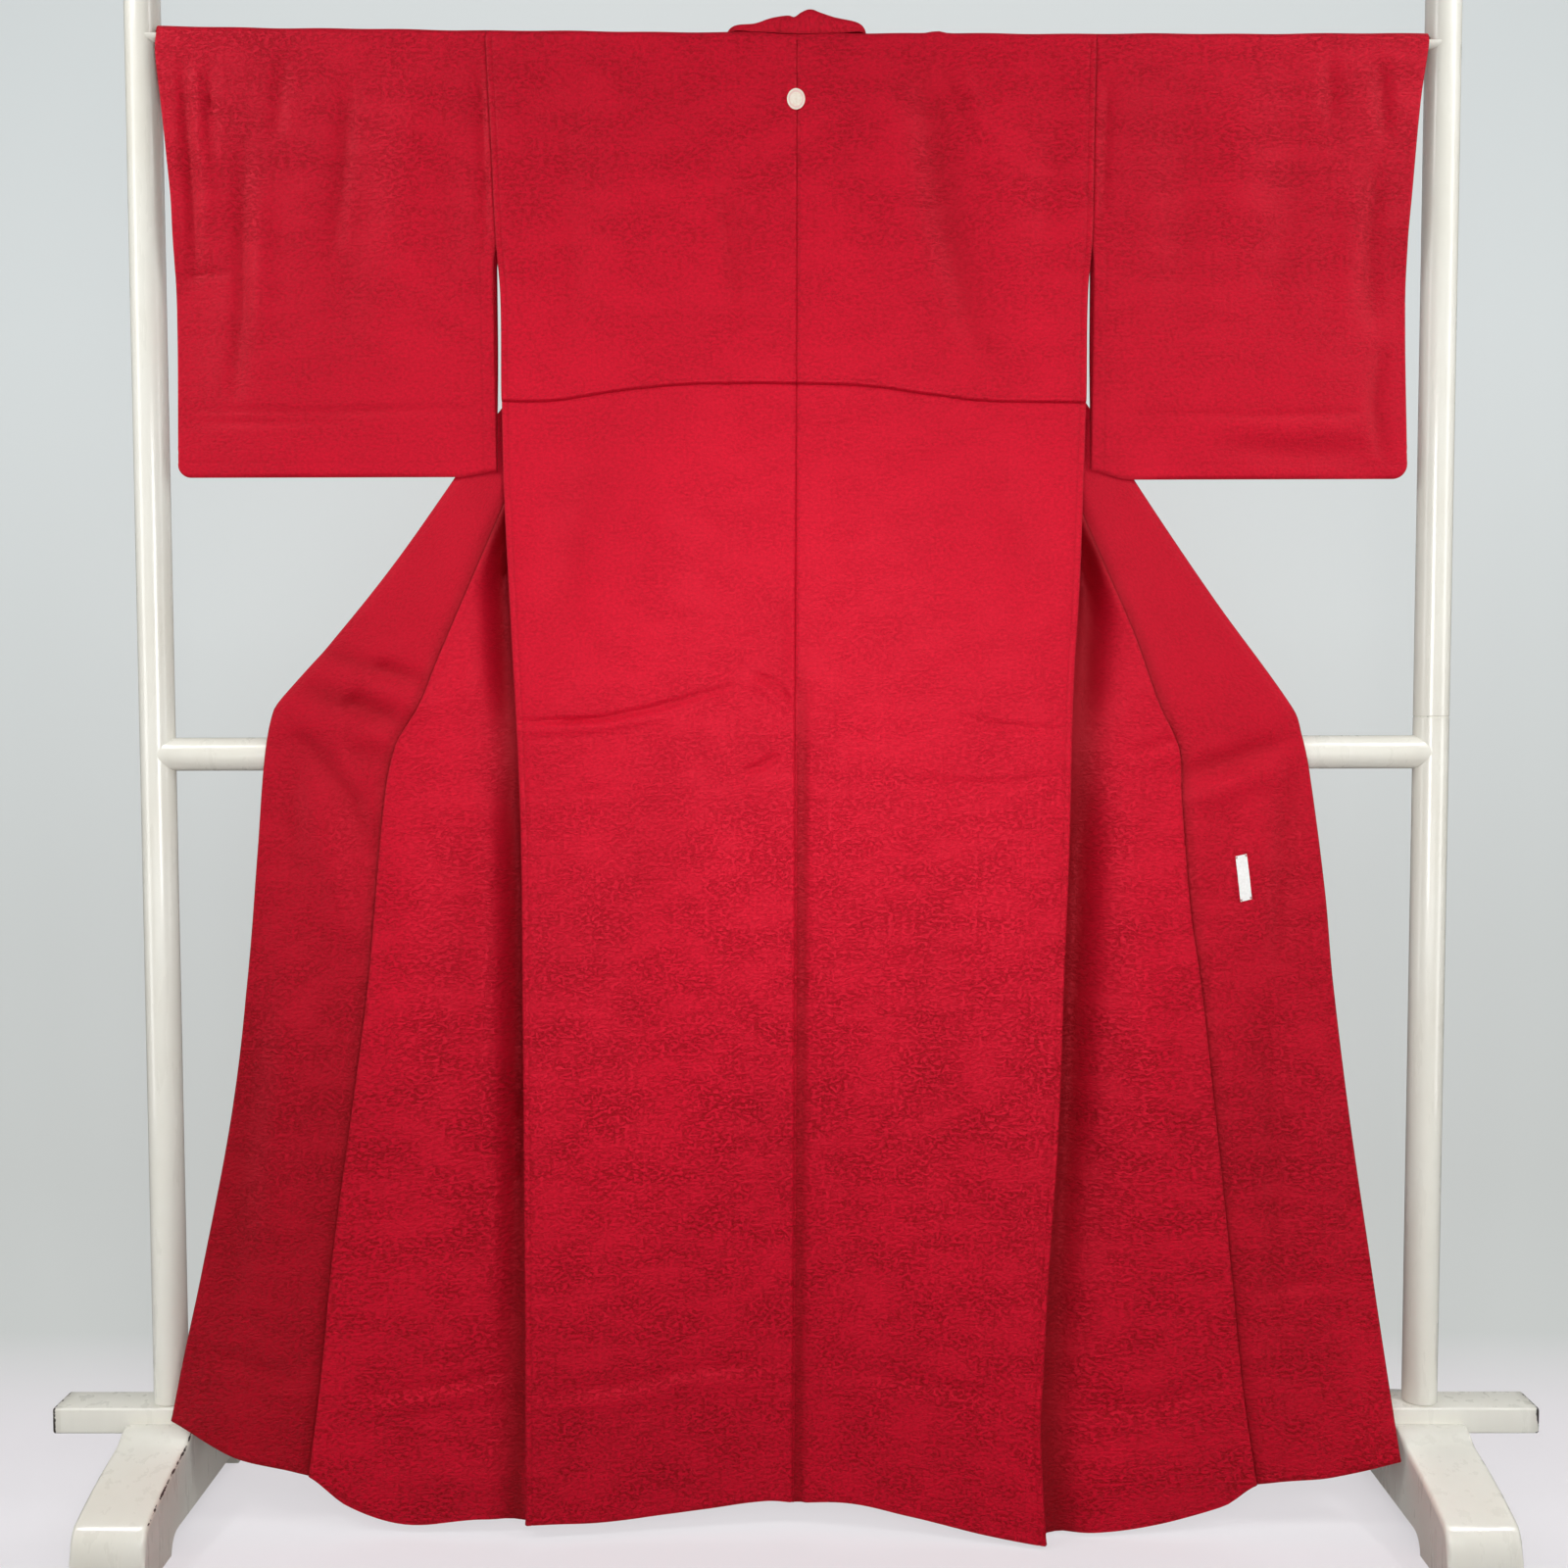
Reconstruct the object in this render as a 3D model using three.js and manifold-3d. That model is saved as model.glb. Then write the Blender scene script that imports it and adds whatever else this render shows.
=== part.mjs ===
// An iromuji kimono (plain dyed silk) spread over a rod on a wooden garment stand, its back to the
// viewer. Millimetres, +Z up. X runs along the rod, Y runs away from the viewer, the origin is on the
// floor under the middle of the stand. Left and right are the viewer's, and the wearer's too.
import * as THREE from "three";
import { RoundedBoxGeometry } from "three/addons/geometries/RoundedBoxGeometry.js";
import { mergeVertices } from "three/addons/utils/BufferGeometryUtils.js";
import Module from "manifold-3d";

const wasm = await Module();
wasm.setup();

// ---------------------------------------------------------------- driving dimensions

const GAP = 0.3; // between pieces that touch or are sewn together
const WALL = 1.5; // one layer of lined silk
const SEAM_STEP = WALL + GAP; // from the middle of one layer to the middle of the next one on it

const FRONT_WIDTH = 240; // a front panel, side seam to okumi seam
const COLLAR_WALL = 3;
const SLEEVE_SEAM_END = 1341; // height where the sleeve leaves the body
const CUFF_END = 1320; // height where the cuff opening is sewn shut
const SIDE_SEAM_TOP = 1284;
const KENSAKI = 1332; // height of the okumi's pointed top
const OKUMI_TOP = 1312; // where the faceted okumi starts, a little under its point
const TUCK = 1186; // mean height of the waist tuck
const TUCK_STEP = 1.3;
const SHOULDER = 1541; // height where the cloth starts to turn over the rod

const ROD_Y = -10;
const ROD_RADIUS = 5.5;
const ROD_HALF = 651.8;
const ROD_Z = { left: 1551.6, middle: 1542.6, right: 1539.6 };
const DRAPE_RADIUS = 9.5; // of the cloth's turn over the rod, at its middle surface
const ROD_CLEARANCE = 0.8;
const SHOULDER_Y = ROD_Y - DRAPE_RADIUS;

const POST_X = 670;
const POST_RADIUS = 18;
const POST_TOP = 1650;
const POST_JOINT = 850; // the right post is made in two lengths
const RAIL_Z = 813;
const RAIL_RADIUS = 17.5;
const BEAM = { half: 789.4, depth: 45, bottom: 90.4, top: 118, edge: 2.5 };
const FOOT = { x: 671.5, width: 74.3, bevel: 5 };
const CRADLE = { outer: 7.4, bore: 5.8, from: 644, to: 662, lip: 0 };

const CREST = { x: 4, z: 1481, halfWidth: 9.2, halfHeight: 10.7, wall: 0.6 };
const LABEL_WALL = 0.5;

// ---------------------------------------------------------------- materials

const paint = (color, roughness) =>
  new THREE.MeshStandardMaterial({ color, roughness, metalness: 0 });
const RED_SILK = paint(0xb5192d, 0.55);
const CREAM_PAINT = paint(0xdedacd, 0.25);
const DARK_ROD = paint(0x2a1d16, 0.5);
const CREST_CREAM = paint(0xefe6da, 0.6);
const LABEL_WHITE = paint(0xf4f2ee, 0.7);

// ---------------------------------------------------------------- tables of the garment's lines

const table = (columns, ...rows) => ({ columns, rows });

// Each side's lines by height: its side seam, its okumi seam (the collar line above KENSAKI), and the
// front edge (below KENSAKI). s is -1 on the left and +1 on the right; hem gives the hem's height by x.
const LEFT = {
  name: "left",
  s: -1,
  sideSeam: table(
    ["z", "x", "y"],
    [0, -278, -74],
    [272, -278, -65],
    [582, -279, -53],
    [726, -280, -48],
    [839, -284, -44],
    [916, -288, -41],
    [1084, -296, -35],
    [1181, -298, -31],
    [SIDE_SEAM_TOP, -299, -26.5],
    [SLEEVE_SEAM_END, -303.8, -22.5],
    [1450, -308.4, -20.5],
    [SHOULDER, -312.6, SHOULDER_Y],
  ),
  okumiSeam: table(
    ["z", "x", "y"],
    [60, -508, -54],
    [160, -495, -50],
    [286, -482, -46],
    [423, -463, -42],
    [579, -442, -37],
    [750, -426, -32],
    [820, -413, -30],
    [865, -386.5, -28.5],
    [905, -370.5, -26],
    [991, -334, -21],
    [1066, -302, -14],
    [1160, -259.5, -3],
    [1240, -224, 3],
    [KENSAKI, -182, 6],
    [1442, -125, 6],
    [1505, -92, 3],
    [SHOULDER, -76, -0.5],
    [1551, -71, -0.5],
  ),
  frontEdge: table(
    ["z", "x", "y"],
    [117, -652, -50],
    [188, -638.5, -44],
    [263, -623, -38],
    [431, -590, -33],
    [578, -570, -30],
    [714, -558, -26],
    [808, -550, -24],
    [858, -540, -24],
    [876, -527, -24],
    [927, -481, -21.5],
    [1005, -418, -17],
    [1088, -359, -11.5],
    [1163, -310, -3],
    [1246, -245, 4],
    [KENSAKI, -184, 6],
  ),
  hem: table(
    ["x", "z"],
    [-652, 117],
    [-588, 79],
    [-508, 59],
    [-457, 29],
    [-378, 10],
    [-278, 16],
    [-203, 15],
    [-99, 22],
    [-31, 28],
    [-1, 25],
  ),
};
const RIGHT = {
  name: "right",
  s: 1,
  sideSeam: table(
    ["z", "x", "y"],
    [0, 257, -92],
    [123, 251, -86],
    [174, 254, -83],
    [276, 260, -77],
    [429, 271, -68],
    [582, 277, -59],
    [725, 283, -50],
    [879, 287, -43],
    [981, 293, -39],
    [1083, 297, -35],
    [1172, 300, -31],
    [SIDE_SEAM_TOP, 302, -26.5],
    [SLEEVE_SEAM_END, 307, -22.5],
    [1450, 308.4, -20.5],
    [SHOULDER, 310.4, SHOULDER_Y],
  ),
  okumiSeam: table(
    ["z", "x", "y"],
    [50, 482, -54],
    [145, 468, -50],
    [265, 456, -46],
    [447, 437, -41],
    [578, 422, -37],
    [645, 412, -35],
    [765, 402, -31],
    [817, 399, -30],
    [863, 378, -28.5],
    [935, 352.5, -24],
    [1007, 322, -19.5],
    [1060, 300, -14],
    [1160, 263.7, -3],
    [1240, 234.7, 3],
    [KENSAKI + 9, 198, 6],
    [1442, 142, 6],
    [1505, 106, 3],
    [1538, 88, -0.5],
    [1550, 83, -0.5],
  ),
  frontEdge: table(
    ["z", "x", "y"],
    [78, 629, -60],
    [178, 615, -50],
    [282, 601, -40],
    [430, 580, -32],
    [576, 561, -29],
    [670, 552, -27],
    [795, 535, -24],
    [831, 527, -24],
    [858, 518, -24],
    [972, 436, -19],
    [1086, 360, -11.5],
    [1167, 311, -3],
    [1250, 256, 4],
    [KENSAKI + 9, 200, 6],
  ),
  hem: table(
    ["x", "z"],
    [-1, 25],
    [57, 29],
    [120, 20],
    [195, 9],
    [257, 4.5],
    [340, 9],
    [440, 28],
    [482, 50],
    [560, 60],
    [629, 78],
  ),
};

// The middle of the two folded layers of each front, by height: near is next to the back, far is next
// to the collar.
const FOLD_LAYERS = table(
  ["z", "near", "far"],
  [60, -67, -60],
  [160, -60, -47],
  [286, -54, -40],
  [423, -48, -33],
  [579, -41, -27],
  [750, -36, -23.5],
  [813, -34, -22],
  [876, -33, -22],
  [940, -31, -21],
  [1000, -28, -18],
  [1066, -23, -14],
  [1160, -16, -3],
  [1240, -10, 3],
  [1332, -6, 6],
  [1450, -1.5, 6],
  [SHOULDER, -0.5, -0.5],
);

const CENTRE_SEAM = table(
  ["z", "x", "y"],
  [0, -3, -40],
  [580, 1, -44],
  [883, 2, -42],
  [1192, 4, -31],
  [1483, 5, -20.5],
  [SHOULDER, 5, SHOULDER_Y],
);

const TUCK_LINE = table(
  ["x", "z"],
  [-298, 1176],
  [-249, 1176],
  [-171, 1187],
  [-95, 1193],
  [67, 1191],
  [144, 1181],
  [196, 1175],
  [298, 1173],
);

// The neckline of the back: how far round the rod the panel's top edge comes, in degrees.
const NECKLINE = { middle: 6, half: 77, lowest: 38, highest: 87 };

// Sleeves: the outline of each, by height.
const LEFT_SLEEVE = {
  side: LEFT,
  bottom: 1101,
  innerCorner: 1106,
  innerX: -306.4,
  corner: 13,
  outer: table(
    ["z", "x"],
    [1101, -637],
    [1367, -637],
    [1438, -642],
    [1493, -647],
    [1536, -650.5],
    [1560, -647],
  ),
};
const RIGHT_SLEEVE = {
  side: RIGHT,
  bottom: 1096.5,
  innerCorner: 1106,
  innerX: 308.4,
  corner: 15,
  outer: table(
    ["z", "x"],
    [1096, 635],
    [1338, 631],
    [1388, 634],
    [1478, 641],
    [1533, 648],
    [1548, 648],
  ),
};

// The collar, from its left end round the neck to its right end. seam is its sewn edge and free its
// other edge; arch is how high it stands over the chord between them.
const COLLAR = table(
  ["along", "seamX", "seamY", "seamZ", "freeX", "freeY", "freeZ", "arch"],
  [0, -533, -21.2, 869, -489, -20.6, 837, 0],
  [1, -481, -18.9, 927, -437, -17.5, 893, 0],
  [2, -418, -14.3, 1005, -374, -11, 971, 0],
  [3, -359, -8.3, 1088, -314, -4, 1057, 0],
  [4, -310, -0.3, 1163, -265, 4, 1131, 0],
  [5, -245, 6.8, 1246, -199, 9.5, 1215, 0],
  [6, -184, 8.8, 1332, -136, 10.5, 1305, 0],
  [7, -125, 8.8, 1442, -78, 10, 1418, 1],
  [8, -92, 6.2, 1505, -44, 8, 1486, 2],
  [9, -73, 2.4, 1540, -30, 5, 1520, 5],
  [10, -62, -9.5, 1552.5, -22, 2.5, 1537, 12],
  [11, -36, -13.5, 1551, -14, 1, 1543, 17],
  [12, 6, -17.7, 1547.4, 6, 0.5, 1545, 22],
  [13, 47, -13.8, 1549.6, 24, 1, 1542, 20],
  [14, 73, -9.5, 1551, 33, 2.5, 1536, 13],
  [15, 79, 2.6, 1540, 36, 5, 1521, 5],
  [16, 106, 6.2, 1505, 58, 8, 1484, 2],
  [17, 142, 8.8, 1442, 95, 10, 1416, 1],
  [18, 200, 8.8, 1341, 153, 10.5, 1312, 0],
  [19, 256, 6.8, 1250, 210, 9.5, 1220, 0],
  [20, 311, -0.3, 1167, 265, 4, 1137, 0],
  [21, 360, -8.8, 1086, 314, -4, 1055, 0],
  [22, 436, -16.3, 972, 391, -13.5, 939, 0],
  [23, 512, -21.2, 866, 468, -20.6, 834, 0],
);

// The label's corners on the right okumi: u across it from its seam, and height.
const LABEL = table(
  ["end", "innerX", "innerZ", "outerX", "outerZ"],
  [0, 462.8, 659, 474.4, 662],
  [1, 457.6, 706, 469, 708.8],
);

// ---------------------------------------------------------------- numbers and curves

const clamp = THREE.MathUtils.clamp;
const mix = THREE.MathUtils.lerp;
const radians = THREE.MathUtils.degToRad;
const ease = (value, from, to) =>
  from < to
    ? THREE.MathUtils.smoothstep(value, from, to)
    : 1 - THREE.MathUtils.smoothstep(value, to, from);

// A column of a table at a place along its first column, on a smooth curve through the rows.
function read({ columns, rows }, column, at) {
  const k = columns.indexOf(column);
  const last = rows.length - 1;
  if (at <= rows[0][0]) return rows[0][k];
  if (at >= rows[last][0]) return rows[last][k];
  const i = rows.findIndex((row) => row[0] > at) - 1;
  const slope = (j) => {
    const before = rows[Math.max(j - 1, 0)];
    const after = rows[Math.min(j + 1, last)];
    return (after[k] - before[k]) / (after[0] - before[0]);
  };
  const span = rows[i + 1][0] - rows[i][0];
  const t = (at - rows[i][0]) / span;
  const rise = t * t * (3 - 2 * t);
  return (
    mix(rows[i][k], rows[i + 1][k], rise) +
    span * t * (1 - t) * ((1 - t) * slope(i) - t * slope(i + 1))
  );
}

// The rod sags a little and its left end is higher: a parabola through its three heights.
function rodZ(x) {
  const tilt = (ROD_Z.right - ROD_Z.left) / 2;
  const sag = (ROD_Z.right + ROD_Z.left) / 2 - ROD_Z.middle;
  const t = x / ROD_HALF;
  return ROD_Z.middle + tilt * t + sag * t * t;
}

// Cloth over the rod: the point of its middle surface at an angle, 0 at the near side and 180 at the
// far side.
const drapeCentreZ = (x) =>
  rodZ(x) + ROD_RADIUS + ROD_CLEARANCE + WALL / 2 - DRAPE_RADIUS;
const overRod = (x, degrees) =>
  new THREE.Vector3(
    x,
    ROD_Y - DRAPE_RADIUS * Math.cos(radians(degrees)),
    drapeCentreZ(x) + DRAPE_RADIUS * Math.sin(radians(degrees)),
  );

// ---------------------------------------------------------------- solids

function signedVolume(geometry) {
  const p = geometry.attributes.position;
  const index = geometry.index;
  const corner = (i) => new THREE.Vector3().fromBufferAttribute(p, index.getX(i));
  let volume = 0;
  for (let i = 0; i < index.count; i += 3)
    volume += corner(i).dot(corner(i + 1).cross(corner(i + 2))) / 6;
  return volume;
}

// Two matching grids of points, a front and a back face, closed round their edges into one solid.
// With ring, each row closes on itself.
function closedFaces(front, back, ring = false) {
  const rows = front.length;
  const cols = front[0].length;
  const points = [...front.flat(), ...back.flat()];
  const index = [];
  const at = (side, i, j) => side * rows * cols + i * cols + (j % cols);
  const quad = (a, b, c, d) => index.push(a, b, c, a, c, d);
  const lastCol = ring ? cols : cols - 1;
  for (let i = 0; i < rows - 1; i++)
    for (let j = 0; j < lastCol; j++) {
      quad(at(0, i, j), at(0, i + 1, j), at(0, i + 1, j + 1), at(0, i, j + 1));
      quad(at(1, i, j), at(1, i, j + 1), at(1, i + 1, j + 1), at(1, i + 1, j));
    }
  for (let j = 0; j < lastCol; j++) {
    quad(at(0, 0, j), at(0, 0, j + 1), at(1, 0, j + 1), at(1, 0, j));
    quad(at(0, rows - 1, j), at(1, rows - 1, j), at(1, rows - 1, j + 1), at(0, rows - 1, j + 1));
  }
  if (!ring)
    for (let i = 0; i < rows - 1; i++) {
      quad(at(0, i, 0), at(1, i, 0), at(1, i + 1, 0), at(0, i + 1, 0));
      quad(at(0, i, cols - 1), at(0, i + 1, cols - 1), at(1, i + 1, cols - 1), at(1, i, cols - 1));
    }
  const geometry = new THREE.BufferGeometry().setFromPoints(points).setIndex(index);
  if (signedVolume(geometry) < 0) {
    for (let i = 0; i < index.length; i += 3)
      [index[i + 1], index[i + 2]] = [index[i + 2], index[i + 1]];
    geometry.setIndex(index);
  }
  return geometry;
}

// The grid's points moved along its normals.
function moved(grid, distance, ring = false) {
  const rows = grid.length;
  const cols = grid[0].length;
  const point = (i, j) =>
    grid[clamp(i, 0, rows - 1)][ring ? (j + cols) % cols : clamp(j, 0, cols - 1)];
  return grid.map((row, i) =>
    row.map((p, j) => {
      const along = point(i + 1, j).clone().sub(point(i - 1, j));
      const across = point(i, j + 1).clone().sub(point(i, j - 1));
      return along.cross(across).normalize().multiplyScalar(distance).add(p);
    }),
  );
}

// A cloth wall round a grid of middle points.
const clothWall = (grid, wall = WALL, ring = false) =>
  closedFaces(moved(grid, wall / 2, ring), moved(grid, -wall / 2, ring), ring);

function positionsOnly(geometry) {
  geometry.deleteAttribute("normal");
  geometry.deleteAttribute("uv");
  return mergeVertices(geometry, 1e-3);
}

function manifoldOf(geometry) {
  const g = positionsOnly(geometry);
  return new wasm.Manifold(
    new wasm.Mesh({
      numProp: 3,
      vertProperties: new Float32Array(g.attributes.position.array),
      triVerts: new Uint32Array(g.index.array),
    }),
  );
}

function geometryOf(manifold) {
  const mesh = manifold.getMesh();
  return new THREE.BufferGeometry()
    .setAttribute("position", new THREE.BufferAttribute(mesh.vertProperties, 3))
    .setIndex(new THREE.BufferAttribute(mesh.triVerts, 1));
}

const kimonoOnStand = new THREE.Group();
const stand = new THREE.Group();
const kimono = new THREE.Group();
kimonoOnStand.add(stand, kimono);

function add(group, name, geometry, material) {
  const mesh = new THREE.Mesh(geometry, material);
  mesh.name = name;
  group.add(mesh);
  return mesh;
}

// A grid of points from two lists of places.
const gridOf = (rows, columns, pointAt) =>
  rows.map((row) => columns.map((column) => pointAt(row, column)));

// ---------------------------------------------------------------- back panels

const BACK_HEIGHTS = [
  0, 10, 60, 130, 200, 276, 352, 429, 505, 582, 655, 726, 800, 860, 930, 1000, 1070, 1130,
  TUCK - 6, TUCK + 1, 1225, SIDE_SEAM_TOP, SLEEVE_SEAM_END, 1395, 1450, 1500,
];
const BACK_COLUMNS = [0, 0.12, 0.26, 0.4, 0.54, 0.67, 0.79, 0.9, 1];
const HEM_RISE_END = 400; // the hem's waves die out at this height
const TUCK_EASE = 90; // the tuck's step dies out this far above it
const SLANT_REACH = 120; // rows within this of the tuck follow its line

// A back's middle surface at u, 0 at the centre seam and 1 at the side seam, and height z. It bows
// towards the viewer at the sides, and stands out over the waist tuck by the tuck's step.
function backPoint(side, u, z) {
  const centreX = read(CENTRE_SEAM, "x", z) + side.s * GAP * 0.6;
  const x = mix(centreX, read(side.sideSeam, "x", z), u);
  const bow = u ** mix(1.2, 2, ease(z, 0, 800));
  const y = mix(read(CENTRE_SEAM, "y", z), read(side.sideSeam, "y", z), bow);
  const tuck = read(TUCK_LINE, "z", x);
  const step = z > tuck - 3 ? TUCK_STEP * ease(z, tuck + TUCK_EASE, tuck) : 0;
  return new THREE.Vector3(x, y - step, z);
}

function backGrid(side) {
  const low = gridOf(BACK_HEIGHTS, BACK_COLUMNS, (h, u) => {
    const x = backPoint(side, u, h).x;
    const rise = read(side.hem, "z", x) * (1 - clamp(h / HEM_RISE_END, 0, 1));
    const slant = (read(TUCK_LINE, "z", x) - TUCK) * ease(Math.abs(h - TUCK), SLANT_REACH, 6);
    return backPoint(side, u, h + rise + slant);
  });
  const over = gridOf([0, 0.3, 0.65, 1], BACK_COLUMNS, (share, u) => {
    const x = backPoint(side, u, SHOULDER).x;
    const open = ease(Math.abs(x - NECKLINE.middle) / NECKLINE.half, 0, 1);
    return overRod(x, share * mix(NECKLINE.lowest, NECKLINE.highest, open));
  });
  return [...low, ...over];
}

// ---------------------------------------------------------------- front panels

const FRONT_HEIGHTS = [
  0, 30, 80, 140, 210, 286, 360, 440, 520, 600, 680, 760, 820, 866, 905, 950, 1000, 1066,
  1130, 1200, SIDE_SEAM_TOP, OKUMI_TOP, SLEEVE_SEAM_END, 1395, 1450, 1500,
];
const FRONT_LIFT_END = 860; // the fan of the hem dies out at this height
const FOLD_REACH = 12; // of the fold's turn, to each side along the cloth
const NEAR_LEAN = 0.7; // shares of the side seam's lean that the fold's two layers follow
const FAR_LEAN = 0.35;

// The course of a front panel at one height: from the side seam in behind the back, round the fold,
// and out to the okumi seam or the collar line. The fold is as deep as the panel's width needs.
function frontCourse(side, z) {
  const { s, sideSeam, okumiSeam } = side;
  const lean = read(sideSeam, "y", z) - read(LEFT.sideSeam, "y", z);
  const seamX = read(sideSeam, "x", z);
  const endX = read(okumiSeam, "x", z);
  const endY = read(okumiSeam, "y", z);
  const near = read(FOLD_LAYERS, "near", z) + NEAR_LEAN * lean;
  const sewn = ease(z, SLEEVE_SEAM_END, SIDE_SEAM_TOP);
  const seamY = mix(near, read(sideSeam, "y", z) + SEAM_STEP, sewn);
  const isWing = s * (endX - seamX) > 1;
  const turnX = isWing ? seamX : endX;
  const far = isWing ? read(FOLD_LAYERS, "far", z) + FAR_LEAN * lean : endY;
  const courseOf = (depth) => {
    const course = new THREE.CurvePath();
    course.add(
      new THREE.CubicBezierCurve(
        new THREE.Vector2(seamX, seamY),
        new THREE.Vector2(seamX - s * depth, near),
        new THREE.Vector2(seamX - s * depth, far),
        new THREE.Vector2(turnX, far),
      ),
    );
    if (isWing)
      course.add(
        new THREE.CubicBezierCurve(
          new THREE.Vector2(seamX, far),
          new THREE.Vector2(mix(seamX, endX, 0.3), far),
          new THREE.Vector2(mix(seamX, endX, 0.7), endY),
          new THREE.Vector2(endX, endY),
        ),
      );
    return course;
  };
  let [shallow, deep] = [0, 2 * FRONT_WIDTH];
  for (let step = 0; step < 16; step++) {
    const middle = (shallow + deep) / 2;
    if (courseOf(middle).getLength() < FRONT_WIDTH) shallow = middle;
    else deep = middle;
  }
  const inward = s * (seamX - endX);
  return {
    course: courseOf(shallow),
    fold: clamp((FRONT_WIDTH + inward) / 2, 8, FRONT_WIDTH - 8),
  };
}

// Columns across a front: 4 up to the fold's turn, 4 round it and 5 beyond, as shares of each stretch.
const FRONT_COLUMNS = [
  ...[0, 0.25, 0.5, 0.75].map((share) => ({ stretch: "in", share })),
  ...[0, 0.25, 0.5, 0.75].map((share) => ({ stretch: "turn", share })),
  ...[0, 0.2, 0.4, 0.6, 0.8, 1].map((share) => ({ stretch: "out", share })),
];

function frontPoint(side, z, { stretch, share }) {
  const { course, fold } = frontCourse(side, z);
  const reach = Math.min(FOLD_REACH, 0.6 * fold, 0.6 * (FRONT_WIDTH - fold));
  const stretches = {
    in: [0, fold - reach],
    turn: [fold - reach, fold + reach],
    out: [fold + reach, FRONT_WIDTH],
  };
  const [from, to] = stretches[stretch];
  const p = course.getPoint(mix(from, to, share) / FRONT_WIDTH);
  return new THREE.Vector3(p.x, p.y, z);
}

// The fan of a front's hem: a point that hangs at x at the hem is lifted by the hem's height there.
const fanned = (side, h, hemX) =>
  h + read(side.hem, "z", hemX) * (1 - clamp(h / FRONT_LIFT_END, 0, 1));

function frontGrid(side) {
  const hemFrom = read(side.sideSeam, "x", 0);
  const hemTo = side.okumiSeam.rows[0][1];
  const low = gridOf(FRONT_HEIGHTS, FRONT_COLUMNS, (h, column) => {
    const out = column.stretch === "out" ? column.share : 0;
    return frontPoint(side, fanned(side, h, mix(hemFrom, hemTo, out)), column);
  });
  const neckX = side.okumiSeam.rows.at(-1)[1];
  const over = gridOf([180, 150, 120, 94], FRONT_COLUMNS, (degrees, column) => {
    const level = frontPoint(side, SHOULDER, column);
    const x = side.s * Math.max(side.s * level.x, side.s * neckX);
    return overRod(mix(level.x, x, 0.5), degrees);
  });
  return [...low, ...over];
}

// ---------------------------------------------------------------- okumi, the overlap panels

const OKUMI_HEIGHTS = FRONT_HEIGHTS.filter((h) => h <= OKUMI_TOP);
const OKUMI_COLUMNS = [0, 0.25, 0.5, 0.75, 1];

// An okumi's middle surface at u, 0 at its seam with the front panel and 1 at the front edge.
function okumiPoint(side, u, z) {
  const seamX = read(side.okumiSeam, "x", z) + side.s * 2 * GAP;
  return new THREE.Vector3(
    mix(seamX, read(side.frontEdge, "x", z), u),
    mix(read(side.okumiSeam, "y", z), read(side.frontEdge, "y", z), u),
    z,
  );
}

function okumiGrid(side) {
  const [hemFrom, hemTo] = [side.okumiSeam.rows[0][1], side.frontEdge.rows[0][1]];
  return gridOf(OKUMI_HEIGHTS, OKUMI_COLUMNS, (h, u) =>
    okumiPoint(side, u, fanned(side, h, mix(hemFrom, hemTo, u))),
  );
}

// ---------------------------------------------------------------- sleeves

const SLEEVE_COLUMNS = [0, 0.05, 0.16, 0.34, 0.54, 0.72, 0.84, 0.92, 0.965, 0.985, 1];
const SLEEVE_SHARES = [0.005, 0.03, 0.09, 0.18, 0.3, 0.42, 0.52, 0.62, 0.8];
const CLOSED_HALF = 1.2; // half the layers' distance where they are sewn together
const LAYERS_MEET = 140; // above its foot the sleeve's layers start to come together
const FOOT_LEAN = -4; // the sleeve's foot hangs this much nearer than the rod
const LEAN_FROM = 1240; // above this height the sleeve's near layer follows the back beside it
const LEAN_END = 0.4; // share of the sleeve's width over which it does
const CUFF_FROM = 0.72; // share from which the layers come together under the cuff
const CUFF_EASE = 12;

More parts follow.
